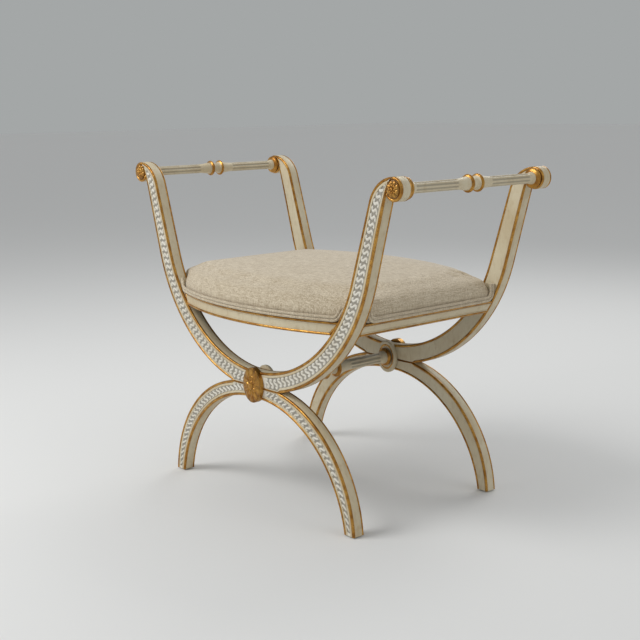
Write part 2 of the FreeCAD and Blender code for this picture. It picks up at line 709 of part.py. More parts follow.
def pad_levels():
    """Height and share of the plan at each level; the strip of welt lies over the lowest two."""
    wall = CUSHION_SHOULDER - RAIL_TOP
    rise = CUSHION_CROWN - CUSHION_SHOULDER
    bulge = CUSHION_BULGE / SEAT_HALF_X
    draw_in = PAD_ROUND / SEAT_HALF_X
    tacked = 1.0 - TACK_DRAW / SEAT_HALF_X
    return [
        (RAIL_TOP, tacked),
        (RAIL_TOP + WELT_LIFT + WELT_HEIGHT, tacked),
        (RAIL_TOP + 0.5 * wall, 1.0 + bulge),
        (RAIL_TOP + 0.78 * wall, 1.0 + 0.4 * bulge),
        (RAIL_TOP + 0.94 * wall, 1.0 - 0.5 * draw_in),
        (CUSHION_SHOULDER + 0.08 * rise, 1.0 - 1.3 * draw_in),
        (CUSHION_SHOULDER + 0.42 * rise, 0.80),
        (CUSHION_SHOULDER + 0.72 * rise, 0.58),
        (CUSHION_SHOULDER + 0.92 * rise, 0.34),
        (CUSHION_CROWN, 0.1),
    ]


def notch_tools(gap):
    """What the arms take out of the pad's four corners, with a gap all round."""
    radius = BOWL_RADIUS - gap
    low = angle_at_height(BOWL_CENTRE, radius, RAIL_BOTTOM)
    high = INNER_LEAN
    far_x = SCROLL_CENTRE[0]
    profile = face([
        arc(BOWL_CENTRE, radius, low, high),
        line(on_circle(BOWL_CENTRE, radius, high), (far_x, on_circle(BOWL_CENTRE, radius, high)[1])),
        line((far_x, on_circle(BOWL_CENTRE, radius, high)[1]), (far_x, RAIL_BOTTOM)),
        line((far_x, RAIL_BOTTOM), on_circle(BOWL_CENTRE, radius, low)),
    ])
    front_right = slab(profile, -FACE_Y - 2 * SEAT_BOW, -INNER_Y + gap)
    front = [front_right, mirrored(front_right, X_AXIS)]
    return front + [mirrored(tool, Y_AXIS) for tool in front]


def drawn_in_tools(inset):
    """What is drawn in from the pad's bulge beside each arm, where the welt turns up."""
    low = RAIL_TOP - 1.0
    bow = BOW_RADIUS - TACK_DRAW - inset - DRAWN_IN_EXTRA
    outside = CUSHION_BULGE + DRAWN_IN_EXTRA
    side_x = SEAT_HALF_X - TACK_DRAW - inset - DRAWN_IN_EXTRA
    start_y = WELT_TURN + WELT_HEIGHT + 2 * WELT_LIFT - INNER_Y
    side = [
        Vector(side_x, start_y, low),
        Vector(side_x + outside, start_y + DRAWN_IN_RUN, low),
        Vector(side_x + 4 * outside, start_y + DRAWN_IN_RUN, low),
        Vector(side_x + 4 * outside, -FACE_Y, low),
        Vector(side_x, -FACE_Y, low),
    ]
    start_x = FRONT_WELT_X - 2 * WELT_LIFT
    run_x = start_x - DRAWN_IN_RUN
    front = [
        Vector(start_x, bow_y(bow, start_x), low),
        Vector(SEAT_HALF_X, bow_y(bow, SEAT_HALF_X), low),
        Vector(SEAT_HALF_X, -FACE_Y - SEAT_BOW, low),
        Vector(run_x, -FACE_Y - SEAT_BOW, low),
        Vector(run_x, bow_y(bow, run_x) - outside, low),
    ]
    height = Vector(0, 0, CUSHION_SHOULDER - low)
    return four_corners([flat_face(side).extrude(height), flat_face(front).extrude(height)])


def upholstery():
    """Top cover and the foam under it."""
    levels = pad_levels()
    inside = [levels[number] for number in INSIDE_LEVELS]
    solids = []
    foam_inset = COVER_THICKNESS + FOAM_GAP
    for inset, form in ((0.0, levels), (COVER_THICKNESS, inside), (foam_inset, inside)):
        tools = notch_tools(ARM_CLEARANCE + inset) + drawn_in_tools(inset)
        solids.append(pad_form(inset, form).cut(tools))
    outer, cavity, foam = solids
    deck_top = RAIL_TOP + 2 * WEBBING_THICKNESS + DECK_THICKNESS
    corner = Vector(-2 * SEAT_HALF_X, -2 * SEAT_MID_Y, 0)
    below_deck_top = Part.makeBox(4 * SEAT_HALF_X, 4 * SEAT_MID_Y, deck_top, corner)
    return outer.cut(cavity), foam.cut(below_deck_top)


# Double welt: a strip of two cords side by side with a flat back, laid over the tack
# line; both ends turn up the arms. The front strip ends where its outer side would
# touch the arm's inner edge.
FRONT_WELT_X = bowl_x(BOWL_RADIUS, RAIL_TOP + WELT_HEIGHT) - WELT_TURN - WELT_HEIGHT


def welt_face(place, outward):
    """Cross-section of the strip; place is on the tack face at the top of the rail."""
    corners = [(WELT_GAP, WELT_HEIGHT), (WELT_GAP, 0.0)]
    for cord in (1, 3):
        for degrees in (-60, 0, 60):
            turn = math.radians(degrees)
            out = WELT_GAP + WELT_RADIUS * (1 + math.cos(turn))
            corners.append((out, WELT_RADIUS * (cord + math.sin(turn))))
    return flat_face([place + outward * out + Z_AXIS * (WELT_LIFT + up) for out, up in corners])


def turned_up(section, place, heading, outward, degrees):
    """The strip's end: it turns up about a centre above it, then runs on a little."""
    centre = place + Z_AXIS * (WELT_LIFT + WELT_HEIGHT + WELT_TURN)
    axis = Z_AXIS.cross(heading)
    bend = section.revolve(centre, axis * -1, degrees)
    tip = section.copy()
    tip.rotate(centre, axis * -1, degrees)
    turn = math.radians(degrees)
    return [bend, tip.extrude((heading * math.cos(turn) + Z_AXIS * math.sin(turn)) * WELT_RISE)]


def front_welt():
    end_x = FRONT_WELT_X
    turn = math.asin(end_x / BOW_RADIUS)
    outward = Vector(math.sin(turn), -math.cos(turn), 0)
    heading = Vector(math.cos(turn), math.sin(turn), 0)
    place = Vector(end_x, bow_y(BOW_RADIUS, end_x), RAIL_TOP)
    section = welt_face(place, outward)
    bow = section.revolve(Vector(0, BOW_CENTRE_Y, 0), Z_AXIS, -2 * math.degrees(turn))
    end = turned_up(section, place, heading, outward, WELT_LEAN)
    return bow.fuse(end + [mirrored(part, X_AXIS) for part in end])


def right_welt():
    end_y = INNER_Y - WELT_GAP - WELT_TURN - WELT_HEIGHT
    place = Vector(SEAT_HALF_X, end_y, RAIL_TOP)
    section = welt_face(place, X_AXIS)
    run = section.extrude(Vector(0, -2 * end_y, 0))
    end = turned_up(section, place, Y_AXIS, X_AXIS, 90)
    return run.fuse(end + [mirrored(part, Y_AXIS) for part in end])


def dust_cover_staples():
    """A row of staples along each edge of the dust cover."""
    staples = []
    low_z = RAIL_BOTTOM - DUST_COVER_THICKNESS - STAPLE_WIRE
    inset = DUST_COVER_MARGIN + STAPLE_INSET
    for number in range(-2, 3):
        x = number * STAPLE_PITCH
        y = bow_y(BOW_RADIUS - inset, x)
        staples += [staple(x, side * y, low_z, True) for side in (-1, 1)]
    x = bowl_x(BOWL_OUTER, RAIL_BOTTOM) - inset
    for number in range(-1, 2):
        staples += [staple(side * x, number * STAPLE_PITCH, low_z, False) for side in (-1, 1)]
    return staples


# The whole stool, node by node
def four_corners(solids):
    front = solids + [mirrored(s, X_AXIS) for s in solids]
    return front + [mirrored(s, Y_AXIS) for s in front]


def frame_bore(place):
    """What a tenon or a spigot takes out of a frame, right through its thickness."""
    start = Vector(place[0], -FACE_Y - CUT_PAST, place[1])
    return turned(TENON_RADIUS + TENON_GAP, start, Y_AXIS, FRAME_THICKNESS + 2 * CUT_PAST)


def x_frames(rail_pins, side_pins, glide):
    """The two X frames: arms, legs, their dowels, rosettes and bosses."""
    pins = cross_dowels()
    bore = frame_bore((0.0, CROSS_CENTRE_Z))
    arm = arm_member().cut([bore, frame_bore(SCROLL_CENTRE)] + pins + rail_pins + side_pins[:1])
    leg = leg_member().cut([bore] + pins + [glide])
    nodes = {}
    for name, right in (("arm", arm), ("leg", leg), ("scroll_rosette", scroll_rosette())):
        for side, front in (("right", right), ("left", mirrored(right, X_AXIS))):
            nodes["front_%s_%s" % (side, name)] = [front]
            nodes["back_%s_%s" % (side, name)] = [mirrored(front, Y_AXIS)]
    for name, solids in (("dowels", pins), ("rosette", [cross_rosette()])):
        nodes["front_cross_" + name] = solids
        nodes["back_cross_" + name] = [mirrored(solid, Y_AXIS) for solid in solids]
    boss = inner_boss()
    nodes["front_inner_boss"] = [boss]
    nodes["back_inner_boss"] = [mirrored(boss, Y_AXIS)]
    nodes["foot_glides"] = four_corners([glide])
    return nodes


def ties():
    stretcher_half = INNER_Y - INNER_BOSS_DEPTH
    stretcher_tenon = TENON_LENGTH + INNER_BOSS_DEPTH
    right = turned_tie(ARM_RAIL_RADIUS, INNER_Y, TENON_LENGTH, SCROLL_CENTRE)
    return {
        "stretcher": [
            turned_tie(STRETCHER_RADIUS, stretcher_half, stretcher_tenon, (0.0, CROSS_CENTRE_Z))
        ],
        "right_arm_rail": [right],
        "left_arm_rail": [mirrored(right, X_AXIS)],
    }


def seat_frame(rail_pins, side_pins):
    screws = corner_screws()
    both_sides = screws + [mirrored(s, X_AXIS) for s in screws]
    both_ends = screws + [mirrored(s, Y_AXIS) for s in screws]
    front = front_rail().cut(rail_pins + both_sides)
    right = right_rail().cut(side_pins + both_ends)
    return {
        "front_seat_rail": [front],
        "back_seat_rail": [mirrored(front, Y_AXIS)],
        "right_seat_rail": [right],
        "left_seat_rail": [mirrored(right, X_AXIS)],
        "front_rail_dowels": rail_pins,
        "back_rail_dowels": [mirrored(p, Y_AXIS) for p in rail_pins],
        "side_rail_dowels": side_pins + [mirrored(p, X_AXIS) for p in side_pins],
        "corner_blocks": four_corners([corner_block().cut(screws)]),
        "corner_block_screws": four_corners(screws),
    }


def seat():
    strips = webbing()
    deck_z = RAIL_TOP + 2 * WEBBING_THICKNESS
    deck_gap = ARM_CLEARANCE + COVER_THICKNESS + CUT_PAST
    dust_z = RAIL_BOTTOM - DUST_COVER_THICKNESS
    cover, foam = upholstery()
    front = front_welt()
    right = right_welt()
    return {
        "seat_webbing": strips,
        "webbing_staples": webbing_staples(strips),
        "burlap_deck": [seat_plate(deck_z, DECK_THICKNESS, DECK_MARGIN, deck_gap)],
        "seat_foam": [foam],
        "seat_cover": [cover],
        "front_welt": [front],
        "back_welt": [mirrored(front, Y_AXIS)],
        "right_welt": [right],
        "left_welt": [mirrored(right, X_AXIS)],
        "dust_cover": [
            seat_plate(dust_z, DUST_COVER_THICKNESS, DUST_COVER_MARGIN, DUST_COVER_MARGIN)
        ],
        "dust_cover_staples": dust_cover_staples(),
    }


def main():
    os.makedirs("parts", exist_ok=True)
    rail_pins = front_rail_dowels()
    side_pins = right_rail_dowels()
    nodes = x_frames(rail_pins, side_pins, foot_glide())
    nodes.update(ties())
    nodes.update(seat_frame(rail_pins, side_pins))
    nodes.update(seat())
    for name, solids in nodes.items():
        shape = solids[0] if len(solids) == 1 else Part.makeCompound(solids)
        shape.exportStep("parts/%s.step" % name)
        print("%-26s solids %2d  valid %s" % (name, len(shape.Solids), shape.isValid()))


main()
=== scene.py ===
# X frame stool with scrolled arms: two carved, painted and gilt X frames, a turned
# stretcher and two turned hand rails, and a tight bowed seat in linen. Metres; X runs
# along the seat, Y from front to back, Z up from the floor.

import json
import math

import bmesh
import bpy
from mathutils import Matrix, Vector, kdtree


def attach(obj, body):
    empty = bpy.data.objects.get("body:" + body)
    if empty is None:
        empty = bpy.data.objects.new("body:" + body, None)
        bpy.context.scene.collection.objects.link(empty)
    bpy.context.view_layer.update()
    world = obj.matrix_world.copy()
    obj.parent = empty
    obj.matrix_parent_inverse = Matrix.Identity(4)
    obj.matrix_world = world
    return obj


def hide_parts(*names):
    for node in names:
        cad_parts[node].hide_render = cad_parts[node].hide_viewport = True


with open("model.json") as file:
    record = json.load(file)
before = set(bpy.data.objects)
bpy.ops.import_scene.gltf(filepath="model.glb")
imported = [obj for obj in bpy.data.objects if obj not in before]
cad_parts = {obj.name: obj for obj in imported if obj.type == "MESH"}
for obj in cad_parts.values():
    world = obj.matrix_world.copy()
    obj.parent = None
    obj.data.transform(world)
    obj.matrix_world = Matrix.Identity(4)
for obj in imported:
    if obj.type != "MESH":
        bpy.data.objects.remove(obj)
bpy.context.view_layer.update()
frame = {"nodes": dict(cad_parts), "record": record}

# Camera: at a standing person's chest, in front of the right-hand side, a little above
# the hand rails, with a medium long lens.
CAMERA_PLACE = (1.7975, -1.5872, 0.8174)
CAMERA_AZIMUTH = 49.03
CAMERA_DOWN = 10.87
CAMERA_ROLL = -0.71
CAMERA_LENS = 63.83
SENSOR_WIDTH = 36.0


def aimed(azimuth, down, roll=0.0):
    """Turn of a camera or lamp that looks along an azimuth and down by an angle."""
    turn, dip = math.radians(azimuth), math.radians(down)
    level = Vector((-math.sin(turn), math.cos(turn), 0.0))
    forward = level * math.cos(dip) - Vector((0.0, 0.0, math.sin(dip)))
    right = Vector((math.cos(turn), math.sin(turn), 0.0))
    basis = Matrix((right, right.cross(forward), -forward)).transposed()
    return (basis @ Matrix.Rotation(math.radians(roll), 3, "Z")).to_4x4()


def placed(name, data):
    made = bpy.data.objects.new(name, data)
    bpy.context.scene.collection.objects.link(made)
    return made


camera = placed("camera", bpy.data.cameras.new("camera"))
camera.data.lens = CAMERA_LENS
camera.data.sensor_width = SENSOR_WIDTH
camera_turn = aimed(CAMERA_AZIMUTH, CAMERA_DOWN, CAMERA_ROLL)
camera.matrix_world = Matrix.Translation(CAMERA_PLACE) @ camera_turn
bpy.context.scene.camera = camera
bpy.context.scene.view_settings.view_transform = "Standard"

# Studio: a big soft lamp high on the left in front, a weaker one on the right, a pale
# room all round and a plain pale floor under the feet.
# Each lamp: name, place, azimuth and angle down, size, watts
LAMPS = (
    ("key_lamp", (-1.2, -2.2, 2.5), (-28.0, 42.0), 1.6, 56.0),
    ("side_lamp", (2.4, 0.6, 1.9), (104.0, 30.0), 1.5, 6.0),
    ("back_lamp", (-0.8, 2.2, 2.4), (200.0, 40.0), 1.4, 20.0),
)
for lamp_name, lamp_place, lamp_aim, lamp_size, lamp_power in LAMPS:
    lamp = placed(lamp_name, bpy.data.lights.new(lamp_name, "AREA"))
    lamp.data.size = lamp_size
    lamp.data.energy = lamp_power
    lamp.matrix_world = Matrix.Translation(lamp_place) @ aimed(*lamp_aim)


class Value:
    """A socket in an expression: each operator adds one Math node."""

    def __init__(self, nodes, socket):
        self.nodes = nodes
        self.socket = socket

    def worked(self, operation, *values):
        settings = {"operation": operation}
        return self.nodes.node("ShaderNodeMath", settings, dict(enumerate(values)))

    def __add__(self, other):
        return self.worked("ADD", self, other)

    def __sub__(self, other):
        return self.worked("SUBTRACT", self, other)

    def __rsub__(self, other):
        return self.worked("SUBTRACT", other, self)

    def __mul__(self, other):
        return self.worked("MULTIPLY", self, other)

    __radd__ = __add__
    __rmul__ = __mul__

    def __pow__(self, other):
        return self.worked("POWER", self, other)

    def clamped(self):
        return self.worked("MINIMUM", self.worked("MAXIMUM", self, 0.0), 1.0)


class Nodes:
    """The nodes of a material or of the room, all added by one method."""

    def __init__(self, tree):
        self.tree = tree

    def sockets(self, node, values):
        for key, value in values.items():
            if isinstance(value, Value):
                self.tree.links.new(value.socket, node.inputs[key])
            else:
                node.inputs[key].default_value = value

    def node(self, kind, settings, values, output=0):
        node = self.tree.nodes.new(kind)
        for key, value in settings.items():
            setattr(node, key, value)
        self.sockets(node, values)
        return Value(self, node.outputs[output])


class Finish(Nodes):
    """One material and its shader."""

    def __init__(self, name, **constants):
        self.material = bpy.data.materials.new(name)
        self.material.use_nodes = True
        super().__init__(self.material.node_tree)
        self.shader = self.tree.nodes["Principled BSDF"]
        for key, value in constants.items():
            self.sockets(self.shader, {key.replace("_", " "): value})

    def place(self):
        """Place on the piece, in metres."""
        return self.node("ShaderNodeTexCoord", {}, {}, "Object")

    def noise(self, scale, detail=3.0, stretch=(1.0, 1.0, 1.0)):
        place = self.node("ShaderNodeMapping", {}, {"Vector": self.place(), "Scale": stretch})
        values = {"Vector": place, "Scale": scale, "Detail": detail}
        return self.node("ShaderNodeTexNoise", {}, values)

    def above(self, value, low, high):
        """0 under low, 1 over high and even between."""
        return ((value - low) * (1.0 / (high - low))).clamped()

    def mix(self, share, first, second):
        settings = {"data_type": "RGBA"}
        return self.node("ShaderNodeMix", settings, {0: share, 6: first, 7: second}, 2)

    def mark(self, name):
        """A number kept on the piece's vertices."""
        return self.node("ShaderNodeAttribute", {"attribute_name": name}, {}, 2)

    def bump(self, height, distance, strength=1.0):
        values = {"Height": height, "Distance": distance, "Strength": strength}
        self.sockets(self.shader, {"Normal": self.node("ShaderNodeBump", {}, values)})


def rgb(red, green, blue):
    """A colour as seen on a screen, 0 to 255, as the linear values that a socket takes."""
    def linear(level):
        level = level / 255
        return level / 12.92 if level <= 0.04045 else ((level + 0.055) / 1.055) ** 2.4
    return (linear(red), linear(green), linear(blue), 1.0)


FLOOR_HALF = 30.0
floor_mesh = bmesh.new()
bmesh.ops.create_grid(floor_mesh, x_segments=1, y_segments=1, size=FLOOR_HALF)
floor = placed("floor", bpy.data.meshes.new("floor"))
floor_mesh.to_mesh(floor.data)
floor_finish = Finish("pale_floor", Roughness=0.85, Base_Color=rgb(226, 226, 224))
floor.data.materials.append(floor_finish.material)

ROOM_STRENGTH = 0.58
world = bpy.data.worlds.new("room")
bpy.context.scene.world = world
world.use_nodes = True
room = Nodes(world.node_tree)
room_glow = {"Color": rgb(236, 238, 240), "Strength": ROOM_STRENGTH}
room_light = room.node("ShaderNodeBackground", {}, room_glow)
backdrop = room.node("ShaderNodeBackground", {}, {"Color": rgb(164, 167, 167)})
RAYS = ("Is Camera Ray", "Is Glossy Ray", "Is Transmission Ray")
to_camera, to_gloss, through = [room.node("ShaderNodeLightPath", {}, {}, ray) for ray in RAYS]
seen = (to_camera + to_gloss + through).clamped()
either = room.node("ShaderNodeMixShader", {}, {0: seen, 1: room_light, 2: backdrop})
room.sockets(world.node_tree.nodes["World Output"], {"Surface": either})

# X frames, the arms: each is half of the U with a straight arm and a scroll, sawn from
# beech, moulded with a rounded bead on every edge and painted. The beads are gilt and a
# running scroll is carved in the sunk panel of the outer face. Glued and dowelled.
FRAME_DEPTH = 0.412
FRAME_THICKNESS = 0.028
BOWL_RADIUS = 0.307
BAND_WIDTH = 0.042
CROSS_TOP = 0.2785
ARM_FLARE = 0.053
ARM_RISE = 0.0825
SCROLL_RADIUS = 0.022
NECK_RADIUS = 0.064
NOTCH_ANGLE = 205.0
LEG_CROWN = 0.249
ARCH_TOP = 0.2205
FOOT_SPREAD = 0.593
FOOT_WIDTH = 0.028
FOOT_HEIGHT = 0.0025
OUTER_TOE_IN = 4.2
INNER_TOE_IN = 9.7

BEAD_RADIUS = 0.0029
QUIRK_DEPTH = 0.0019
QUIRK_OFFSET = 0.0056
FILLET_START = 0.0061
FILLET_END = 0.0100
BAND_START = 0.0107
FILLET_SUNK = 0.0010
BAND_SUNK = 0.0023
INNER_SUNK = 0.0012
BAND_STOP = 0.034
EDGE_BREAK = 0.0006
EDGE_STEP_DEPTH = 0.0052
EDGE_FACE_DEPTH = 0.0062
# Painted shade in the quirk beside each bead: the share by which its paint is darkened.
QUIRK_SHADE = 0.35
RIDGE_PROUD = 0.0007
BAND_EDGE_SHARE = 1 / 30
JOINT_BLEND = 0.012
ARM_RUN = 0.235
INTO_SCROLL = 0.020
NECK_TOP_ANGLE = 93.0
BAND_ROWS = 28
JOINT_BEAD_SHARE = 0.34
STATION_STEP = 0.0010

FACE_Y = FRAME_DEPTH / 2
INNER_Y = FACE_Y - FRAME_THICKNESS
BOWL_CENTRE = Vector((0.0, CROSS_TOP + BOWL_RADIUS))
BOWL_OUTER = BOWL_RADIUS + BAND_WIDTH
SCROLL_CENTRE = Vector((BOWL_OUTER + ARM_FLARE, BOWL_CENTRE.y + ARM_RISE))
NECK_CENTRE = SCROLL_CENTRE + Vector((0.0, SCROLL_RADIUS - NECK_RADIUS))
CROSS_CENTRE_Z = (CROSS_TOP + ARCH_TOP) / 2


def on_circle(centre, radius, degrees):
    turn = math.radians(degrees)
    return centre + Vector((radius * math.cos(turn), radius * math.sin(turn)))


def arc(centre, radius, start, end, count=40):
    turn = (end - start) / count
    return [on_circle(centre, radius, start + turn * n) for n in range(count + 1)]


def circle_meets(point, tangent_radius):
    """Angle on the U's circle where a straight edge to that point leaves it."""
    across = point - BOWL_CENTRE
    lean = math.atan2(across.y, across.x) - math.acos(tangent_radius / across.length)
    return math.degrees(lean)


def evenly(points, count):
    """Points set evenly along a run of points."""
    points = points[:1] + [point for last, point in zip(points, points[1:]) if point != last]
    reached = [0.0]
    for start, end in zip(points, points[1:]):
        reached.append(reached[-1] + (end - start).length)
    spaced = []
    number = 0
    for step in range(count + 1):
        target = reached[-1] * step / count
        while number < len(points) - 2 and reached[number + 1] < target:
            number += 1
        share = (target - reached[number]) / (reached[number + 1] - reached[number])
        spaced.append(points[number].lerp(points[number + 1], share))
    return spaced


leg_outer_radius = (LEG_CROWN - FOOT_HEIGHT) / (1 - math.sin(math.radians(OUTER_TOE_IN)))
leg_inner_radius = (ARCH_TOP - FOOT_HEIGHT) / (1 - math.sin(math.radians(INNER_TOE_IN)))
foot_outer_end = Vector((FOOT_SPREAD / 2, FOOT_HEIGHT))
foot_inner_end = Vector((FOOT_SPREAD / 2 - FOOT_WIDTH, FOOT_HEIGHT))
leg_outer_centre = on_circle(foot_outer_end, leg_outer_radius, 180 + OUTER_TOE_IN)
leg_inner_centre = on_circle(foot_inner_end, leg_inner_radius, 180 + INNER_TOE_IN)

# The crotch, where the outer edges of an arm and a leg meet beside the crossing
between = leg_outer_centre - BOWL_CENTRE
along_centres = (BOWL_OUTER**2 - leg_outer_radius**2 + between.length**2) / (2 * between.length)
aside = math.sqrt(BOWL_OUTER**2 - along_centres**2)
unit = between.normalized()
to_side = Vector((-unit.y, unit.x)) * aside
crotch = BOWL_CENTRE + unit * along_centres + to_side
if crotch.x < 0:
    crotch -= to_side * 2

# The two long edges of an arm, from the crossing to the scroll
inner_lean = circle_meets(NECK_CENTRE, BOWL_RADIUS + NECK_RADIUS)
notch = on_circle(SCROLL_CENTRE, SCROLL_RADIUS, NOTCH_ANGLE)
outer_lean = circle_meets(notch, BOWL_OUTER)
bowl_end = min(inner_lean, outer_lean)
bowl_count = round(BOWL_OUTER * math.radians(bowl_end + 90) / STATION_STEP)
arm_inner = arc(BOWL_CENTRE, BOWL_RADIUS, -90, bowl_end, bowl_count)
arm_outer = []
for point in arc(BOWL_CENTRE, 1.0, -90, bowl_end, bowl_count):
    heading = point - BOWL_CENTRE
    reach = min(BOWL_OUTER, (BOWL_CENTRE.y - crotch.y) / max(-heading.y, 0.01))
    arm_outer.append(BOWL_CENTRE + heading * reach)
upper_inner = arc(BOWL_CENTRE, BOWL_RADIUS, bowl_end, inner_lean, 4)
upper_inner += arc(NECK_CENTRE, NECK_RADIUS, 180 + inner_lean, NECK_TOP_ANGLE)
outer_start = arc(BOWL_CENTRE, BOWL_OUTER, bowl_end, outer_lean, 4)
into_scroll = (notch - outer_start[-1]).normalized() * INTO_SCROLL
upper_outer = outer_start + [notch, notch + into_scroll]
upper_count = round(ARM_RUN / STATION_STEP)
arm_inner += evenly(upper_inner, upper_count)[1:]
arm_outer += evenly(upper_outer, upper_count)[1:]


CREAM, GILT, CARVED = 0, 1, 2


def bead_rows():
    """Rows over one rounded bead: (edge, offset from it, depth, finish)."""
    rows = []
    for degrees in (-42, -10, 22, 54, 90, 122, 150):
        turn = math.radians(degrees)
        offset = BEAD_RADIUS * (1 - math.cos(turn))
        rows.append((0, offset, BEAD_RADIUS * (1 - math.sin(turn)), GILT))
    return rows


def member_rows():
    """Rows round a member: from the middle of its inner edge over the outer face and back."""
    outer_half = [(0, 0.0, FRAME_THICKNESS / 2, CREAM), (0, 0.0, EDGE_FACE_DEPTH, CREAM)]
    outer_half += [(0, EDGE_BREAK, EDGE_STEP_DEPTH, CREAM)] + bead_rows()
    outer_half += [(0, QUIRK_OFFSET, QUIRK_DEPTH, CREAM)]
    outer_half += [(0, FILLET_START, FILLET_SUNK, CREAM), (0, FILLET_END, FILLET_SUNK, CREAM)]
    band = [(n / BAND_ROWS, None, None, CARVED) for n in range(BAND_ROWS + 1)]
    inner_half = [
        (0, offset, FRAME_THICKNESS - depth, finish) for _, offset, depth, finish in outer_half[:-2]
    ]
    inner_half += [(0, FILLET_START, FRAME_THICKNESS - INNER_SUNK, CREAM)]

    def far_side(rows):
        return [(1, offset, depth, finish) for _, offset, depth, finish in reversed(rows)]

    outside = outer_half + band + far_side(outer_half)
    return outside + far_side(inner_half)[::-1][1:] + inner_half[::-1]


# One unit of the carved running scroll: a stroke whose heading turns faster towards
# both ends, so that it curls up into two eyes
SCROLL_PITCH = 0.0134
STROKE_SIZE = 0.0090
STROKE_LEAN = math.radians(32.0)
STROKE_HALF_WIDTH = 0.0026
STROKE_REACH = 1.62
STROKE_STEPS = 70

stroke = []
for sense in (1, -1):
    place = Vector((0.0, 0.0, 0.0))
    for step in range(STROKE_STEPS):
        run = STROKE_REACH * (step + 0.5) / STROKE_STEPS
        turn = STROKE_LEAN + math.pi / 2 * run * run
        stroke.append(place.copy())
        heading = Vector((math.cos(turn), math.sin(turn), 0.0)) * sense
        place += heading * STROKE_SIZE * STROKE_REACH / STROKE_STEPS
stroke_tree = kdtree.KDTree(3 * len(stroke))
for unit_number in (-1, 0, 1):
    for point in stroke:
        stroke_tree.insert(point + Vector((unit_number * SCROLL_PITCH, 0.0, 0.0)), 0)
stroke_tree.balance()


def carved_height(along, across):
    """Height of the carving, 0 on the ground and 1 on a stroke's ridge."""
    within = (along + SCROLL_PITCH / 2) % SCROLL_PITCH - SCROLL_PITCH / 2
    distance = stroke_tree.find(Vector((within, across, 0.0)))[2]
    return math.sqrt(max(0.0, 1 - (distance / STROKE_HALF_WIDTH) ** 2))


def smooth_step(value):
    value = min(max(value, 0.0), 1.0)
    return value * value * (3 - 2 * value)


def bent_grid(columns, rows, finish_at, place_at):
    """A grid of quads, moved column by column and row by row to its place on the piece."""
    made = bmesh.new()
    bmesh.ops.create_grid(made, x_segments=columns, y_segments=rows, size=1.0)
    # The carving number of each vertex tells the finishes how much painted shade to put there.
    carving = made.verts.layers.float.new("carving")
    for quad in made.faces:
        middle = quad.calc_center_median()
        column = int((middle.x + 1) / 2 * columns)
        quad.material_index = finish_at(column, int((middle.y + 1) / 2 * rows))
    for vert in made.verts:
        column = round((vert.co.x + 1) / 2 * columns)
        vert.co, vert[carving] = place_at(column, round((vert.co.y + 1) / 2 * rows))
    bmesh.ops.remove_doubles(made, verts=made.verts[:], dist=1e-6)
    bmesh.ops.holes_fill(made, edges=[edge for edge in made.edges if edge.is_boundary], sides=0)
    bmesh.ops.recalc_face_normals(made, faces=made.faces[:])
    return made


def carved_member(inner, outer, fade_at):
    """A moulded plank between two runs of points, with its carved band."""
    rows = member_rows()
    middles = [(a + b) / 2 for a, b in zip(inner, outer)]
    reached = [0.0]
    for start, end in zip(middles, middles[1:]):
        reached.append(reached[-1] + (end - start).length)

    def place_at(column, row):
        start, end = inner[column], outer[column]
        width = (end - start).length
        across = (end - start).normalized()
        joint = smooth_step((crotch.x + JOINT_BLEND / 2 - end.x) / JOINT_BLEND)
        far_share = 1 - joint * (1 - JOINT_BEAD_SHARE)
        edge, offset, depth, finish = rows[row]
        # The quirk's carving number is painted shade that darkens its paint.
        hollow = QUIRK_SHADE if finish == CREAM and offset == QUIRK_OFFSET else 0.0
        fade = fade_at(end, middles[column])
        if offset is None:
            near = BAND_START
            far = width - BAND_START * far_share
            offset = near + (far - near) * edge
            side = (edge - 0.5) * (far - near)
            inside = smooth_step(min(edge, 1 - edge) / BAND_EDGE_SHARE)
            height = fade * inside * carved_height(reached[column], side)
            # Painted shade: the ground between the strokes gets a carving number that darkens its
            # paint; the same number sinks it.
            hollow = fade * (1 - height)
            sunk = (BAND_SUNK - FILLET_SUNK) * hollow
            depth = FILLET_SUNK + sunk - RIDGE_PROUD * height
        elif edge == 1:
            offset = width - offset * far_share
        point = start + across * offset
        return Vector((point.x, depth - FACE_Y, point.y)), hollow

    def finish_at(column, row):
        return rows[row][3]

    return bent_grid(len(inner) - 1, len(rows) - 1, finish_at, place_at)


def finished(name, made, finishes, nodes, sharp=45.0):
    """Puts a bmesh in the scene as a piece that stands for CAD nodes."""
    piece = placed(name, bpy.data.meshes.new(name))
    made.to_mesh(piece.data)
    made.free()
    dressed(piece, finishes, nodes, sharp)
    return piece


def dressed(piece, finishes, nodes, sharp=45.0):
    piece.data.shade_smooth()
    piece.data.set_sharp_from_angle(angle=math.radians(sharp))
    if not piece.data.materials:
        for finish in finishes:
            piece.data.materials.append(finish.material)
    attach(piece, "root")
    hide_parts(*nodes)


def mirrored_copy(piece, name, node, across_x, across_y):
    """The same piece on the other side of the stool."""
    data = piece.data.copy()
    data.transform(Matrix.Diagonal((-1 if across_x else 1, -1 if across_y else 1, 1, 1)))
    if across_x != across_y:
        data.flip_normals()
    copy = placed(name, data)
    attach(copy, "root")
    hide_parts(node)
    return copy


def frame_slot(node):
    """The material slot that the record gives a node."""
    subparts = frame["record"]["subparts"]
    return next(part["material_slot"] for part in subparts if part["node"] == node)


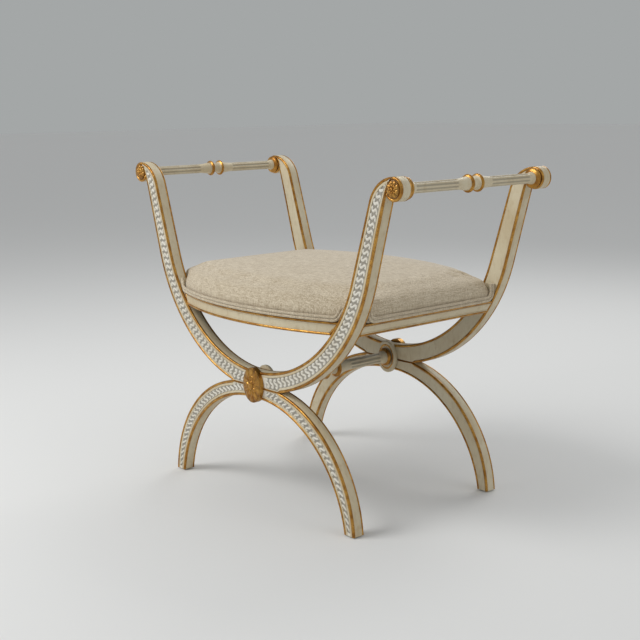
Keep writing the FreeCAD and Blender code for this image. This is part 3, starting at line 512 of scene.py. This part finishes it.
def aged_paint(name, light, dark, worn):
    """Aged paint: uneven in tone, darkened with painted shade where it is hollow and rubbed here
    and there.
    """
    paint = Finish(name, Roughness=0.55)
    cloud = paint.above(paint.noise(9.0, 5.0), 0.3, 0.72)
    streak = paint.above(paint.noise(140.0, 4.0, (1.0, 1.0, 0.35)), 0.5, 0.8)
    rubbed = paint.above(paint.noise(42.0, 6.0), 0.60, 0.68)
    colour = paint.mix(cloud * 0.8, light, dark)
    colour = paint.mix(streak * 0.35, colour, worn)
    colour = paint.mix(rubbed * 0.2, colour, worn)
    # Painted shade: where the carving number marks a hollow, the paint is darkened towards grey.
    hollow = paint.mark("carving").clamped()
    colour = paint.mix(hollow ** 1.5 * 0.75, colour, rgb(120, 112, 99))
    paint.sockets(paint.shader, {"Base Color": colour, "Roughness": 0.48 + rubbed * 0.2})
    paint.bump(paint.noise(700.0, 3.0), 0.0002, 0.5)
    return paint


def worn_gilding(name, deep=0.0):
    """Water gilding rubbed through to the brown clay under it, with painted shade of a given
    strength in its hollows.
    """
    gilt = Finish(name)
    cloud = gilt.above(gilt.noise(60.0, 5.0), 0.36, 0.66)
    speck = gilt.above(gilt.noise(420.0, 4.0), 0.52, 0.70)
    colour = gilt.mix(cloud, rgb(202, 152, 72), rgb(154, 102, 36))
    colour = gilt.mix(speck * 0.7, colour, rgb(108, 68, 24))
    hollow = gilt.mark("carving").clamped()
    # Painted shade: hollows darken to dark brown and lose some metal.
    colour = gilt.mix(hollow * deep, colour, rgb(58, 30, 8))
    metal = 0.75 - speck * 0.35 - hollow * 0.3 * deep
    gloss = 0.30 + speck * 0.25
    gilt.sockets(gilt.shader, {"Base Color": colour, "Metallic": metal, "Roughness": gloss})
    gilt.bump(gilt.noise(500.0, 3.0), 0.0003, 0.5)
    return gilt


CREAM_TONES = (rgb(213, 202, 174), rgb(190, 171, 135), rgb(164, 134, 86))
CARVED_TONES = (rgb(228, 224, 212), rgb(212, 206, 190), rgb(186, 172, 140))
cream_paint = aged_paint("cream_paint", *CREAM_TONES)
carved_paint = aged_paint("carved_paint", *CARVED_TONES)
gilding = worn_gilding("gilding")
# The carved gilding gets strong painted shade in its hollows.
carved_gilding = worn_gilding("carved_gilding", 0.9)
WOOD = (cream_paint, gilding, carved_paint)


def arm_fade(end, middle):
    from_cross = smooth_step((middle.x - BAND_STOP) / 0.003)
    at_scroll = smooth_step(((middle - SCROLL_CENTRE).length - 0.010) / 0.004)
    return from_cross * at_scroll


front_right_arm = carved_member(arm_inner, arm_outer, arm_fade)

# The scroll at the top of the arm: a short barrel with a bead round each rim and a
# faint ring cut round its middle, in one piece with the arm.
SCROLL_STEPS = 88
SCROLL_FACE_SUNK = 0.0026
SCROLL_FACE_RADIUS = 0.0164
SCROLL_GILT_DEPTH = 0.0049
ARM_JOINS_ANGLE = 97.0


def turned_form(profile, centre, steps=SCROLL_STEPS):
    """A form turned about Y from a profile of (radius, y) points."""
    made = bmesh.new()
    verts = [made.verts.new((centre.x + radius, y, centre.y)) for radius, y in profile]
    edges = [made.edges.new(pair) for pair in zip(verts, verts[1:])]
    axis_place = (centre.x, 0.0, centre.y)
    bmesh.ops.spin(
        made, geom=verts + edges, cent=axis_place, axis=(0, 1, 0), dvec=(0, 0, 0),
        angle=2 * math.pi, steps=steps, use_merge=True,
    )
    bmesh.ops.remove_doubles(made, verts=made.verts[:], dist=1e-6)
    bmesh.ops.recalc_face_normals(made, faces=made.faces[:])
    return made


half_profile = [(radius, SCROLL_FACE_SUNK) for radius in (0.0, 0.0156, SCROLL_FACE_RADIUS)]
for degrees in range(180, -50, -22):
    turn = math.radians(degrees)
    bead_radius = BEAD_RADIUS + 0.0001
    middle_radius = SCROLL_RADIUS - bead_radius
    radius = middle_radius + bead_radius * math.cos(turn)
    half_profile.append((radius, bead_radius * (1 - math.sin(turn))))
half_profile += [(SCROLL_RADIUS - 0.0006, 0.0053), (SCROLL_RADIUS - 0.0001, 0.0062)]
half_profile += [(SCROLL_RADIUS - 0.0001, 0.0125)]
half_profile += [(SCROLL_RADIUS - 0.0007, 0.0135), (SCROLL_RADIUS - 0.0007, 0.014)]
front_profile = [(radius, depth - FACE_Y) for radius, depth in half_profile]
back_profile = [(radius, -INNER_Y - depth) for radius, depth in reversed(half_profile)]
scroll = turned_form(front_profile + back_profile[1:], SCROLL_CENTRE)
for quad in scroll.faces:
    middle = quad.calc_center_median()
    radius = (Vector((middle.x, middle.z)) - SCROLL_CENTRE).length
    from_face = min(middle.y + FACE_Y, -INNER_Y - middle.y)
    on_bead = from_face < SCROLL_GILT_DEPTH and radius > SCROLL_FACE_RADIUS
    quad.material_index = GILT if on_bead else CREAM
for vert in scroll.verts:
    spoke = Vector((vert.co.x, vert.co.z)) - SCROLL_CENTRE
    degrees = math.degrees(math.atan2(spoke.y, spoke.x)) % 360
    inside_arm = smooth_step((degrees - ARM_JOINS_ANGLE) / 14)
    inside_arm *= smooth_step((NOTCH_ANGLE + 4 - degrees) / 10)
    depth = vert.co.y + FACE_Y
    if depth < SCROLL_FACE_SUNK:
        vert.co.y += inside_arm * (SCROLL_FACE_SUNK - depth)
joined = bpy.data.meshes.new("scroll")
scroll.to_mesh(joined)
scroll.free()
front_right_arm.from_mesh(joined)
bpy.data.meshes.remove(joined)
front_right_arm = finished(
    "front_right_arm_wood", front_right_arm, WOOD, ["front_right_arm"]
)
# The other three corners: name, mirrored across X, mirrored across Y
CORNERS = (("front_left", True, False), ("back_right", False, True), ("back_left", True, True))
for corner, across_x, across_y in CORNERS:
    mirrored_copy(front_right_arm, corner + "_arm_wood", corner + "_arm", across_x, across_y)

# X frames, the legs: each is half of the arch, moulded, carved and painted as the arms
# are, flat under the foot. Glued to the U and to its neighbour at the crossing.
LEG_RUN = 0.40
LEG_ARC_STEPS = 120
foot_outer = math.degrees(math.asin((FOOT_HEIGHT - leg_outer_centre.y) / leg_outer_radius))
foot_inner = math.degrees(math.asin((FOOT_HEIGHT - leg_inner_centre.y) / leg_inner_radius))
crotch_turn = crotch - leg_outer_centre
crotch_angle = math.degrees(math.atan2(crotch_turn.y, crotch_turn.x))
arch_start = math.degrees(math.acos(-leg_inner_centre.x / leg_inner_radius))
leg_outer_run = [Vector((0.0, crotch.y))]
leg_outer_run += arc(leg_outer_centre, leg_outer_radius, crotch_angle, foot_outer, LEG_ARC_STEPS)
leg_inner_run = arc(leg_inner_centre, leg_inner_radius, arch_start, foot_inner, LEG_ARC_STEPS)
leg_count = round(LEG_RUN / STATION_STEP)


def leg_fade(end, middle):
    from_cross = smooth_step((middle.x - BAND_STOP) / 0.003)
    above_foot = smooth_step((middle.y - 0.007) / 0.002)
    return from_cross * above_foot


leg_inner = evenly(leg_inner_run, leg_count)
leg_outer = evenly(leg_outer_run, leg_count)
front_right_leg = finished(
    "front_right_leg_wood", carved_member(leg_inner, leg_outer, leg_fade),
    WOOD, ["front_right_leg"],
)
for corner, across_x, across_y in CORNERS:
    mirrored_copy(front_right_leg, corner + "_leg_wood", corner + "_leg", across_x, across_y)

# Carved rosettes: lime wood, gilt all over. A round one sits on each scroll, and a tall
# oval one on a drum covers each crossing. Both are pegged and glued.
PETAL_RINGS = 34
SCROLL_ROSETTE_RADIUS = 0.0155
SCROLL_ROSETTE_WALL = 0.0002
SCROLL_ROSETTE_RISE = 0.0055
SCROLL_PETALS = 8
CROSS_ROSETTE_WIDTH = 0.058
CROSS_ROSETTE_HEIGHT = 0.073
CROSS_ROSETTE_WALL = 0.0075
CROSS_ROSETTE_RISE = 0.0055
CROSS_PETALS = 10
ROSETTE_SHARP = 60.0
ROSETTE_STEPS = 144
ROSETTE_BACK = 0.004
DRAWN_RADIUS = 0.1


def petal_height(share, degrees, petals):
    """Relief of a rosette from its middle, 0, to its rim, 1: a bud and two rows of petals."""
    turn = math.radians(degrees)
    if share < 0.24:
        bud = math.sqrt(1 - (share / 0.26) ** 2)
        return 0.62 + 0.38 * bud * (0.8 + 0.2 * abs(math.cos(3 * turn)))
    if share < 0.58:
        petal = abs(math.cos(petals * turn / 2)) ** 0.7
        rise = math.sin(math.pi * min((share - 0.22) / 0.42, 1.0)) ** 0.6
        return 0.30 + 0.52 * rise * (0.25 + 0.75 * petal)
    petal = abs(math.sin(petals * turn / 2)) ** 0.7
    reach = 0.84 + 0.16 * petal
    past = (share - 0.58) / (reach - 0.58 + 0.02)
    rise = math.sqrt(max(0.0, 1 - past**2)) if share < reach else 0.0
    vein = 0.10 * math.exp(-((petal - 1.0) / 0.05) ** 2)
    return 0.06 + 0.56 * rise * (0.30 + 0.70 * petal) - vein * rise


def carved_boss(centre, half_width, half_height, wall, rise, petals):
    """A domed rosette, drawn as a round one and then made oval."""
    profile = [(0.0, ROSETTE_BACK), (1.0, ROSETTE_BACK), (1.0, -wall * 0.5), (1.0, -wall)]
    profile += [(1 - n / PETAL_RINGS, -wall) for n in range(1, PETAL_RINGS + 1)]
    profile = [(radius * DRAWN_RADIUS, y) for radius, y in profile]
    made = turned_form(profile, Vector((0.0, 0.0)), ROSETTE_STEPS)
    carving = made.verts.layers.float.new("carving")
    for vert in made.verts:
        share = math.hypot(vert.co.x, vert.co.z) / DRAWN_RADIUS
        degrees = math.degrees(math.atan2(vert.co.z, vert.co.x))
        if vert.co.y <= -wall + 1e-6 and share < 0.995:
            relief = petal_height(share / 0.995, degrees, petals)
            vert.co.y -= rise * relief * (0.5 + 0.5 * (1 - share**2) ** 0.5)
            # Painted shade: low parts of the relief get a carving number that darkens their
            # gilding.
            vert[carving] = max(0.0, 0.75 - 1.3 * relief)
        vert.co.x = centre.x + vert.co.x / DRAWN_RADIUS * half_width
        vert.co.z = centre.y + vert.co.z / DRAWN_RADIUS * half_height
        vert.co.y -= FACE_Y
    return made


scroll_rosette = carved_boss(
    SCROLL_CENTRE, SCROLL_ROSETTE_RADIUS, SCROLL_ROSETTE_RADIUS,
    SCROLL_ROSETTE_WALL, SCROLL_ROSETTE_RISE, SCROLL_PETALS,
)
scroll_rosette = finished(
    "front_right_scroll_flower", scroll_rosette, [carved_gilding],
    ["front_right_scroll_rosette"], ROSETTE_SHARP,
)
for corner, across_x, across_y in CORNERS:
    name = corner + "_scroll_flower"
    mirrored_copy(scroll_rosette, name, corner + "_scroll_rosette", across_x, across_y)
cross_rosette = carved_boss(
    Vector((0.0, CROSS_CENTRE_Z)), CROSS_ROSETTE_WIDTH / 2, CROSS_ROSETTE_HEIGHT / 2,
    CROSS_ROSETTE_WALL, CROSS_ROSETTE_RISE, CROSS_PETALS,
)
cross_rosette = finished(
    "front_cross_flower", cross_rosette, [carved_gilding],
    ["front_cross_rosette"], ROSETTE_SHARP,
)
mirrored_copy(cross_rosette, "back_cross_flower", "back_cross_rosette", False, True)

# Inner bosses: plain painted ovals of turned beech, glued behind the crossings, with a
# gilt ring round the hole that the stretcher's tenon goes through.
BOSS_DEPTH = 0.008
BOSS_STEPS = 96
RING_INNER_RADIUS = 0.0200
RING_OUTER_RADIUS = 0.0226
# (radius, height): the wall and its rounded edge, the ring, the hole
boss_profile = [(0.007, 0.0), (0.029, 0.0), (0.029, 0.0052), (0.0286, 0.0066), (0.0274, 0.0077)]
boss_profile += [(0.0262, 0.008), (0.0235, 0.008), (0.0228, 0.0074), (0.0221, 0.008)]
boss_profile += [(0.0205, 0.008), (0.0198, 0.0074), (0.007, 0.0076), (0.007, 0.0)]
boss_profile = [(radius, y - INNER_Y) for radius, y in boss_profile]
boss = turned_form(boss_profile, Vector((0.0, 0.0)), BOSS_STEPS)
for quad in boss.faces:
    middle = quad.calc_center_median()
    radius = math.hypot(middle.x, middle.z)
    on_top = middle.y > 0.0073 - INNER_Y
    ring = RING_INNER_RADIUS < radius < RING_OUTER_RADIUS and on_top
    quad.material_index = GILT if ring else CREAM
oval = CROSS_ROSETTE_HEIGHT / CROSS_ROSETTE_WIDTH
bmesh.ops.scale(boss, vec=(1.0, 1.0, oval), verts=boss.verts[:])
bmesh.ops.translate(boss, vec=(0.0, 0.0, CROSS_CENTRE_Z), verts=boss.verts[:])
TURNED = (cream_paint, gilding)
boss = finished("front_oval_boss", boss, TURNED, ["front_inner_boss"])
mirrored_copy(boss, "back_oval_boss", "back_inner_boss", False, True)

# Ties: the stretcher and the two hand rails are turned from beech and fluted. A neck
# between two gilt rings is in the middle, and a gilt ring is at each end. Tenoned.
STRETCHER_RADIUS = 0.012
HAND_RAIL_RADIUS = 0.010
TENON_RADIUS = 0.007
TENON_LENGTH = 0.020
FLUTES = 8
FLUTE_DEPTH = 0.0018
# Painted shade in the flutes: how much their paint is darkened.
FLUTE_SHADE = 0.85
ROWS_ROUND = 96
TIE_STEP = 0.0011
# Shares of a tie's radius
RING_PLACE = 1.3
RING_HALF_WIDTH = 0.34
RING_SEAT = 1.1
RING_PEAK = 1.72
END_RING_SEAT = 1.2
SWELLING_END = 4.5
FLUTES_START = 4.3
FLUTES_STOP = 2.0


def torus(share, seat, peak):
    """Radius of a ring at a share of its half width from its middle."""
    if abs(share) >= 1:
        return 0.0
    return seat + (peak - seat) * math.sqrt(1 - share * share)


def tie_radius(y, half, radius, end_width, end_peak):
    """Radius of a tie at a distance from its middle, before its flutes are cut."""
    reach = abs(y) / radius
    end = half / radius
    if abs(y) > half:
        return TENON_RADIUS
    mid_ring = torus((reach - RING_PLACE) / RING_HALF_WIDTH, RING_SEAT, RING_PEAK)
    end_ring = torus((end - end_width - reach) / end_width, END_RING_SEAT, end_peak)
    if reach < RING_PLACE:
        body = 1.0 + 0.16 * smooth_step((reach - 0.75) / 0.2)
    elif reach < SWELLING_END:
        past = (reach - RING_PLACE) / (SWELLING_END - RING_PLACE)
        body = 1.0 + 0.30 * (1 - smooth_step(past)) ** 1.1
    else:
        body = 1.0 + 0.22 * smooth_step((reach - end + 1.75) / 0.9)
    return max(body, mid_ring, end_ring) * radius


def fluted_tie(centre, half, radius, tenon, end_width, end_peak):
    """A turned tie along Y, from the tip of one tenon to the tip of the other."""
    columns = round((half + tenon) * 2 / TIE_STEP)

    def station(column):
        return (half + tenon) * (2 * column / columns - 1)

    def finish_at(column, row):
        reach = abs(station(column + 0.5)) / radius
        end = half / radius
        mid_ring = abs(reach - RING_PLACE) < RING_HALF_WIDTH * 1.02
        end_ring = 0 < end - reach < 2.04 * end_width
        return GILT if mid_ring or end_ring else CREAM

    def place_at(column, row):
        y = station(column)
        turn = 2 * math.pi * row / ROWS_ROUND
        here = tie_radius(y, half, radius, end_width, end_peak)
        first = FLUTES_START * radius
        last = half - FLUTES_STOP * radius
        flute = smooth_step((abs(y) - first) / 0.006) * smooth_step((last - abs(y)) / 0.004)
        wave = max(0.0, math.sin(FLUTES * turn / 2) ** 2 - 0.16) / 0.84
        cut = flute * wave**0.7
        here -= FLUTE_DEPTH * cut
        x = centre.x + here * math.cos(turn)
        # The flutes' carving number darkens their paint as painted shade.
        return Vector((x, y, centre.y + here * math.sin(turn))), FLUTE_SHADE * cut

    return bent_grid(columns, ROWS_ROUND, finish_at, place_at)


# The end rings: half width and peak, in shares of the tie's radius
STRETCHER_END_RING = (0.34, 1.66)
HAND_RAIL_END_RING = (0.42, 2.0)
stretcher = fluted_tie(
    Vector((0.0, CROSS_CENTRE_Z)), INNER_Y - BOSS_DEPTH, STRETCHER_RADIUS,
    TENON_LENGTH + BOSS_DEPTH, *STRETCHER_END_RING,
)
finished("turned_stretcher", stretcher, TURNED, ["stretcher"])
hand_rail = fluted_tie(
    SCROLL_CENTRE, INNER_Y, HAND_RAIL_RADIUS, TENON_LENGTH, *HAND_RAIL_END_RING
)
hand_rail = finished("right_hand_rail", hand_rail, TURNED, ["right_arm_rail"])
mirrored_copy(hand_rail, "left_hand_rail", "left_arm_rail", True, False)

# Seat rails: the front and back ones are bowed and show a sunk panel between gilt beads
# that return at the ends. The side ones follow the arms' outer edge. Dowelled to the arms.
RAIL_BOTTOM = 0.3865
RAIL_HEIGHT = 0.027
RAIL_THICKNESS = 0.024
SIDE_RAIL_THICKNESS = 0.025
SEAT_BOW = 0.044
RAIL_BEAD = 0.0026
RAIL_TOP = RAIL_BOTTOM + RAIL_HEIGHT


def bowl_x(radius, z):
    return math.sqrt(radius**2 - (z - BOWL_CENTRE.y) ** 2)


rail_meets_x = bowl_x(BOWL_RADIUS, RAIL_BOTTOM)
bow_radius = (rail_meets_x**2 + SEAT_BOW**2) / (2 * SEAT_BOW)
bow_centre_y = bow_radius - FACE_Y - SEAT_BOW


def rail_depth(from_edge):
    """How deep a rail's face lies at a distance from its edge: bead, fillet, panel."""
    if from_edge < 2 * RAIL_BEAD:
        return RAIL_BEAD - math.sqrt(max(0.0, RAIL_BEAD**2 - (from_edge - RAIL_BEAD) ** 2))
    past_bead = from_edge - 2 * RAIL_BEAD
    if past_bead < 0.0006:
        return 0.0017
    return 0.0009 if past_bead < 0.0021 else 0.0019


BEAD_SHARES = (0.0, 0.04, 0.15, 0.31, 0.5, 0.69, 0.85, 0.96, 1.0)
heights = [2 * RAIL_BEAD * share for share in BEAD_SHARES]
heights += [2 * RAIL_BEAD + past for past in (0.0005, 0.0007, 0.0020, 0.0022)]
upper_heights = [RAIL_HEIGHT - height for height in reversed(heights)]
heights += [RAIL_HEIGHT / 2] + upper_heights
RAIL_COLUMNS = 420
SIDE_COLUMNS = 60
END_GAP = 0.0002


def front_rail_place(column, row):
    """The outer face's rows first, then the back face and round to the start."""
    share = 2 * column / RAIL_COLUMNS - 1
    if row < len(heights) or row == len(heights) + 3:
        height = heights[row] if row < len(heights) else 0.0
        half = bowl_x(BOWL_RADIUS, RAIL_BOTTOM + height) - END_GAP
        from_end = half * (1 - abs(share))
        depth = rail_depth(min(height, RAIL_HEIGHT - height, from_end))
    else:
        height = (RAIL_HEIGHT, 0.0)[row - len(heights)] if row < len(heights) + 2 else 0.0
        half = bowl_x(BOWL_RADIUS, RAIL_BOTTOM + height) - END_GAP
        depth = RAIL_THICKNESS
    x = share * half
    y = bow_centre_y - math.sqrt((bow_radius - depth) ** 2 - x * x)
    return Vector((x, y, RAIL_BOTTOM + height)), 0.0


def front_rail_finish(column, row):
    if row >= len(heights) - 1:
        return CREAM
    height = (heights[row] + heights[row + 1]) / 2
    half = bowl_x(BOWL_RADIUS, RAIL_BOTTOM + height)
    from_end = half * (1 - abs(2 * (column + 0.5) / RAIL_COLUMNS - 1))
    return GILT if min(height, RAIL_HEIGHT - height, from_end) < 2 * RAIL_BEAD else CREAM


front_rail = bent_grid(RAIL_COLUMNS, len(heights) + 2, front_rail_finish, front_rail_place)
front_rail = finished("front_rail_wood", front_rail, TURNED, ["front_seat_rail"])
mirrored_copy(front_rail, "back_rail_wood", "back_seat_rail", False, True)


def side_rail_place(column, row):
    """As the front rail's, with one row fewer on the back face."""
    y = INNER_Y * (2 * column / SIDE_COLUMNS - 1)
    if row < len(heights) or row == len(heights) + 2:
        height = heights[row] if row < len(heights) else 0.0
        depth = rail_depth(min(height, RAIL_HEIGHT - height))
        x = bowl_x(BOWL_OUTER, RAIL_BOTTOM + height) - depth
    else:
        height = (RAIL_HEIGHT, 0.0)[row - len(heights)]
        x = bowl_x(BOWL_OUTER, RAIL_BOTTOM) - SIDE_RAIL_THICKNESS
    return Vector((x, y, RAIL_BOTTOM + height)), 0.0


def side_rail_finish(column, row):
    if row >= len(heights) - 1:
        return CREAM
    height = (heights[row] + heights[row + 1]) / 2
    return GILT if min(height, RAIL_HEIGHT - height) < 2 * RAIL_BEAD else CREAM


side_rail = bent_grid(SIDE_COLUMNS, len(heights) + 2, side_rail_finish, side_rail_place)
side_rail = finished("right_rail_wood", side_rail, TURNED, ["right_seat_rail"])
mirrored_copy(side_rail, "left_rail_wood", "left_seat_rail", True, False)

# Cushion: foam and wadding under a heathered linen cover, pulled down tight and tacked
# to the rails, notched round the arms. The cover is swollen by a cloth simulation.
VOXEL = 0.005
SLACK = 0.0058
SWELL_LIMIT = 0.0056
TACKED_UNDER = 0.427
LOOSE_HEIGHT = 0.030
SMOOTHINGS = 5
FILLING_PRESSURE = 4.0
CLOTH_FRAMES = 20
THREAD_SCALE = 520.0
THREAD_STRETCH = 0.10
LINEN_TONES = (rgb(216, 203, 178), rgb(164, 147, 120), rgb(182, 166, 138))


def linen(name, light, dark, shade):
    """Plain-weave linen whose threads vary in tone along the warp and the weft."""
    cloth = Finish(name, Roughness=0.92, Sheen_Weight=0.25, Sheen_Roughness=0.5)
    warp = cloth.noise(THREAD_SCALE, 2.0, (THREAD_STRETCH, 1.0, 1.0))
    weft = cloth.noise(THREAD_SCALE, 2.0, (1.0, THREAD_STRETCH, 1.0))
    down = cloth.noise(THREAD_SCALE, 2.0, (1.0, 1.0, THREAD_STRETCH))
    thread = cloth.above((warp + weft + down) * 0.3333, 0.40, 0.60)
    cloud = cloth.above(cloth.noise(14.0, 3.0), 0.3, 0.7)
    colour = cloth.mix(thread, light, dark)
    colour = cloth.mix(cloud * 0.25, colour, shade)
    cloth.sockets(cloth.shader, {"Base Color": colour})
    cloth.bump(warp + weft + down, 0.0006, 0.7)
    return cloth


def looseness(z):
    """0 where the cover is tacked down, 1 well above the tack line."""
    return smooth_step((z - TACKED_UNDER) / LOOSE_HEIGHT)


linen_cloth = linen("seat_linen", *LINEN_TONES)


def cad_copy(name, *nodes):
    """A merged copy of the solids of some nodes, for a piece that stands for them."""
    made = bmesh.new()
    for node in nodes:
        made.from_mesh(frame["nodes"][node].data)
    bmesh.ops.remove_doubles(made, verts=made.verts[:], dist=1e-6)
    piece = placed(name, bpy.data.meshes.new(name))
    made.to_mesh(piece.data)
    made.free()
    return piece


def applied(piece):
    """The piece's mesh as its modifiers leave it."""
    graph = bpy.context.evaluated_depsgraph_get()
    mesh = bpy.data.meshes.new_from_object(piece.evaluated_get(graph), depsgraph=graph)
    piece.modifiers.clear()
    piece.data = mesh
    return piece


cushion = cad_copy("seat_cushion", "seat_cover", "seat_foam")
remesh = cushion.modifiers.new("even_mesh", "REMESH")
remesh.mode = "VOXEL"
remesh.voxel_size = VOXEL
applied(cushion)

shaped = bmesh.new()
shaped.from_mesh(cushion.data)
# Only the outer shell stays: the one that holds the highest point
highest = max(shaped.verts, key=lambda vert: vert.co.z)
reached = {highest}
still_to_search = [highest]
while still_to_search:
    vert = still_to_search.pop()
    for link in vert.link_edges:
        other = link.other_vert(vert)
        if other not in reached:
            reached.add(other)
            still_to_search.append(other)
inner_shells = [vert for vert in shaped.verts if vert not in reached]
bmesh.ops.delete(shaped, geom=inner_shells, context="VERTS")
above_tacks = [vert for vert in shaped.verts if vert.co.z > TACKED_UNDER]
for _ in range(SMOOTHINGS):
    bmesh.ops.smooth_vert(
        shaped, verts=above_tacks, factor=0.5,
        use_axis_x=True, use_axis_y=True, use_axis_z=True,
    )
shaped.normal_update()
for vert in shaped.verts:
    vert.co -= vert.normal * SLACK * looseness(vert.co.z)
shaped.to_mesh(cushion.data)
shaped.free()

tacked = cushion.vertex_groups.new(name="tacked")
held = [vert.index for vert in cushion.data.vertices if vert.co.z < TACKED_UNDER]
tacked.add(held, 1.0, "REPLACE")
at_rest = [vert.co.copy() for vert in cushion.data.vertices]
cloth = cushion.modifiers.new("filling_pressure", "CLOTH")
cloth.settings.use_pressure = True
cloth.settings.uniform_pressure_force = FILLING_PRESSURE
cloth.settings.effector_weights.gravity = 0.0
cloth.settings.vertex_group_mass = "tacked"
for step in range(1, CLOTH_FRAMES + 1):
    bpy.context.scene.frame_set(step)
swollen = applied(cushion)
for vert, start in zip(swollen.data.vertices, at_rest):
    moved = vert.co - start
    limit = SWELL_LIMIT * looseness(start.z)
    if moved.length > limit:
        vert.co = start + moved * (limit / moved.length)
bpy.context.scene.frame_set(1)
cushion.vertex_groups.clear()
softened = cushion.modifiers.new("soft", "SUBSURF")
softened.levels = 1
softened.render_levels = 1
applied(cushion)
dressed(cushion, [linen_cloth], ["seat_cover", "seat_foam"], 180.0)

# Double welt: two linen-covered cords sewn side by side over the tack line, one strip
# on each side of the seat. The ends turn up beside the arms.
CORD_RADIUS = 0.0030
WELT_GAP = 0.0003
WELT_TURN = 0.009
WELT_RISE = 0.016
WELT_LEAN = 58.0
WELT_HEIGHT = 4 * CORD_RADIUS
TURN_STEPS = 12
BOW_STEPS = 80
SIDE_RUN_STEPS = 40
welt_linen = linen("welt_linen", *LINEN_TONES)


def turned_up(end, heading, height, lean):
    """Points of a cord's end: it bends up about a centre above it and runs on a little."""
    bend = WELT_HEIGHT + WELT_TURN - height
    points = []
    for step in range(1, TURN_STEPS + 1):
        turn = math.radians(lean) * step / TURN_STEPS
        rise = Vector((0, 0, bend * (1 - math.cos(turn))))
        points.append(end + heading * bend * math.sin(turn) + rise)
    onward = heading * math.cos(turn) + Vector((0, 0, math.sin(turn)))
    points.append(points[-1] + onward * WELT_RISE)
    return points


def cord_mesh(name, routes):
    """Round cords along routes of points, as one mesh."""
    curve = bpy.data.curves.new(name, "CURVE")
    curve.dimensions = "3D"
    curve.bevel_depth = CORD_RADIUS
    curve.bevel_resolution = 4
    curve.use_fill_caps = True
    for route in routes:
        spline = curve.splines.new("POLY")
        spline.points.add(len(route) - 1)
        for point, place in zip(spline.points, route):
            point.co = (*place, 1.0)
    shape = placed(name + "_route", curve)
    graph = bpy.context.evaluated_depsgraph_get()
    mesh = bpy.data.meshes.new_from_object(shape.evaluated_get(graph))
    bpy.data.objects.remove(shape)
    return placed(name, mesh)


front_end_x = bowl_x(BOWL_RADIUS, RAIL_TOP + WELT_HEIGHT) - WELT_TURN - WELT_HEIGHT
side_end_y = INNER_Y - WELT_GAP - WELT_TURN - WELT_HEIGHT
spread = math.asin(front_end_x / bow_radius)
right_heading = Vector((math.cos(spread), math.sin(spread), 0))
left_heading = Vector((-math.cos(spread), math.sin(spread), 0))
front_routes = []
side_routes = []
for height in (CORD_RADIUS, 3 * CORD_RADIUS):
    z = RAIL_TOP + WELT_GAP + height
    radius = bow_radius + WELT_GAP + CORD_RADIUS
    bow = []
    for step in range(BOW_STEPS + 1):
        turn = spread * (2 * step / BOW_STEPS - 1)
        y = bow_centre_y - radius * math.cos(turn)
        bow.append(Vector((radius * math.sin(turn), y, z)))
    right_end = turned_up(bow[-1], right_heading, height, WELT_LEAN)
    left_end = turned_up(bow[0], left_heading, height, WELT_LEAN)
    front_routes.append(left_end[::-1] + bow + right_end)
    x = bowl_x(BOWL_OUTER, RAIL_TOP) + WELT_GAP + CORD_RADIUS
    run = []
    for step in range(SIDE_RUN_STEPS + 1):
        run.append(Vector((x, side_end_y * (2 * step / SIDE_RUN_STEPS - 1), z)))
    back_end = turned_up(run[-1], Vector((0, 1, 0)), height, 90.0)
    front_end = turned_up(run[0], Vector((0, -1, 0)), height, 90.0)
    side_routes.append(front_end[::-1] + run + back_end)
front_welt = cord_mesh("front_double_welt", front_routes)
dressed(front_welt, [welt_linen], ["front_welt"], 60.0)
mirrored_copy(front_welt, "back_double_welt", "back_welt", False, True)
side_welt = cord_mesh("right_double_welt", side_routes)
dressed(side_welt, [welt_linen], ["right_welt"], 60.0)
mirrored_copy(side_welt, "left_double_welt", "left_welt", True, False)

# Under the seat and inside the joints: jute webbing, hessian, black cambric, beech
# blocks and dowels, steel staples, screws and glides, each with its own finish.
jute = Finish("jute", Roughness=0.95)
jute_thread = jute.above(jute.noise(300.0, 3.0, (1.0, 0.2, 1.0)), 0.35, 0.65)
jute_colour = jute.mix(jute_thread, rgb(176, 148, 104), rgb(132, 104, 66))
jute.sockets(jute.shader, {"Base Color": jute_colour})
jute.bump(jute_thread, 0.0005)
hessian = linen("hessian", rgb(180, 156, 118), rgb(138, 112, 76), rgb(150, 126, 90))
cambric = Finish("cambric", Roughness=0.9)
cambric_thread = cambric.noise(900.0, 2.0)
cambric_colour = cambric.mix(cambric_thread, rgb(26, 26, 27), rgb(48, 47, 46))
cambric.sockets(cambric.shader, {"Base Color": cambric_colour})
cambric.bump(cambric_thread, 0.0002)
beech = Finish("bare_beech", Roughness=0.6)
beech_grain = beech.above(beech.noise(90.0, 5.0, (0.08, 1.0, 1.0)), 0.3, 0.7)
beech_colour = beech.mix(beech_grain, rgb(206, 170, 128), rgb(176, 136, 94))
beech.sockets(beech.shader, {"Base Color": beech_colour})
beech.bump(beech_grain, 0.0002)
steel = Finish("dark_steel", Metallic=0.85)
steel_cloud = steel.noise(120.0, 3.0)
steel_colour = steel.mix(steel_cloud, rgb(70, 70, 72), rgb(104, 102, 98))
steel.sockets(steel.shader, {"Base Color": steel_colour, "Roughness": 0.3 + steel_cloud * 0.3})
CARRIED = {"bare_wood": beech, "steel": steel, "jute": jute, "hessian": hessian, "cambric": cambric}
for node, carried in frame["nodes"].items():
    finish = CARRIED.get(frame_slot(node))
    if finish:
        carried.data.materials.clear()
        carried.data.materials.append(finish.material)
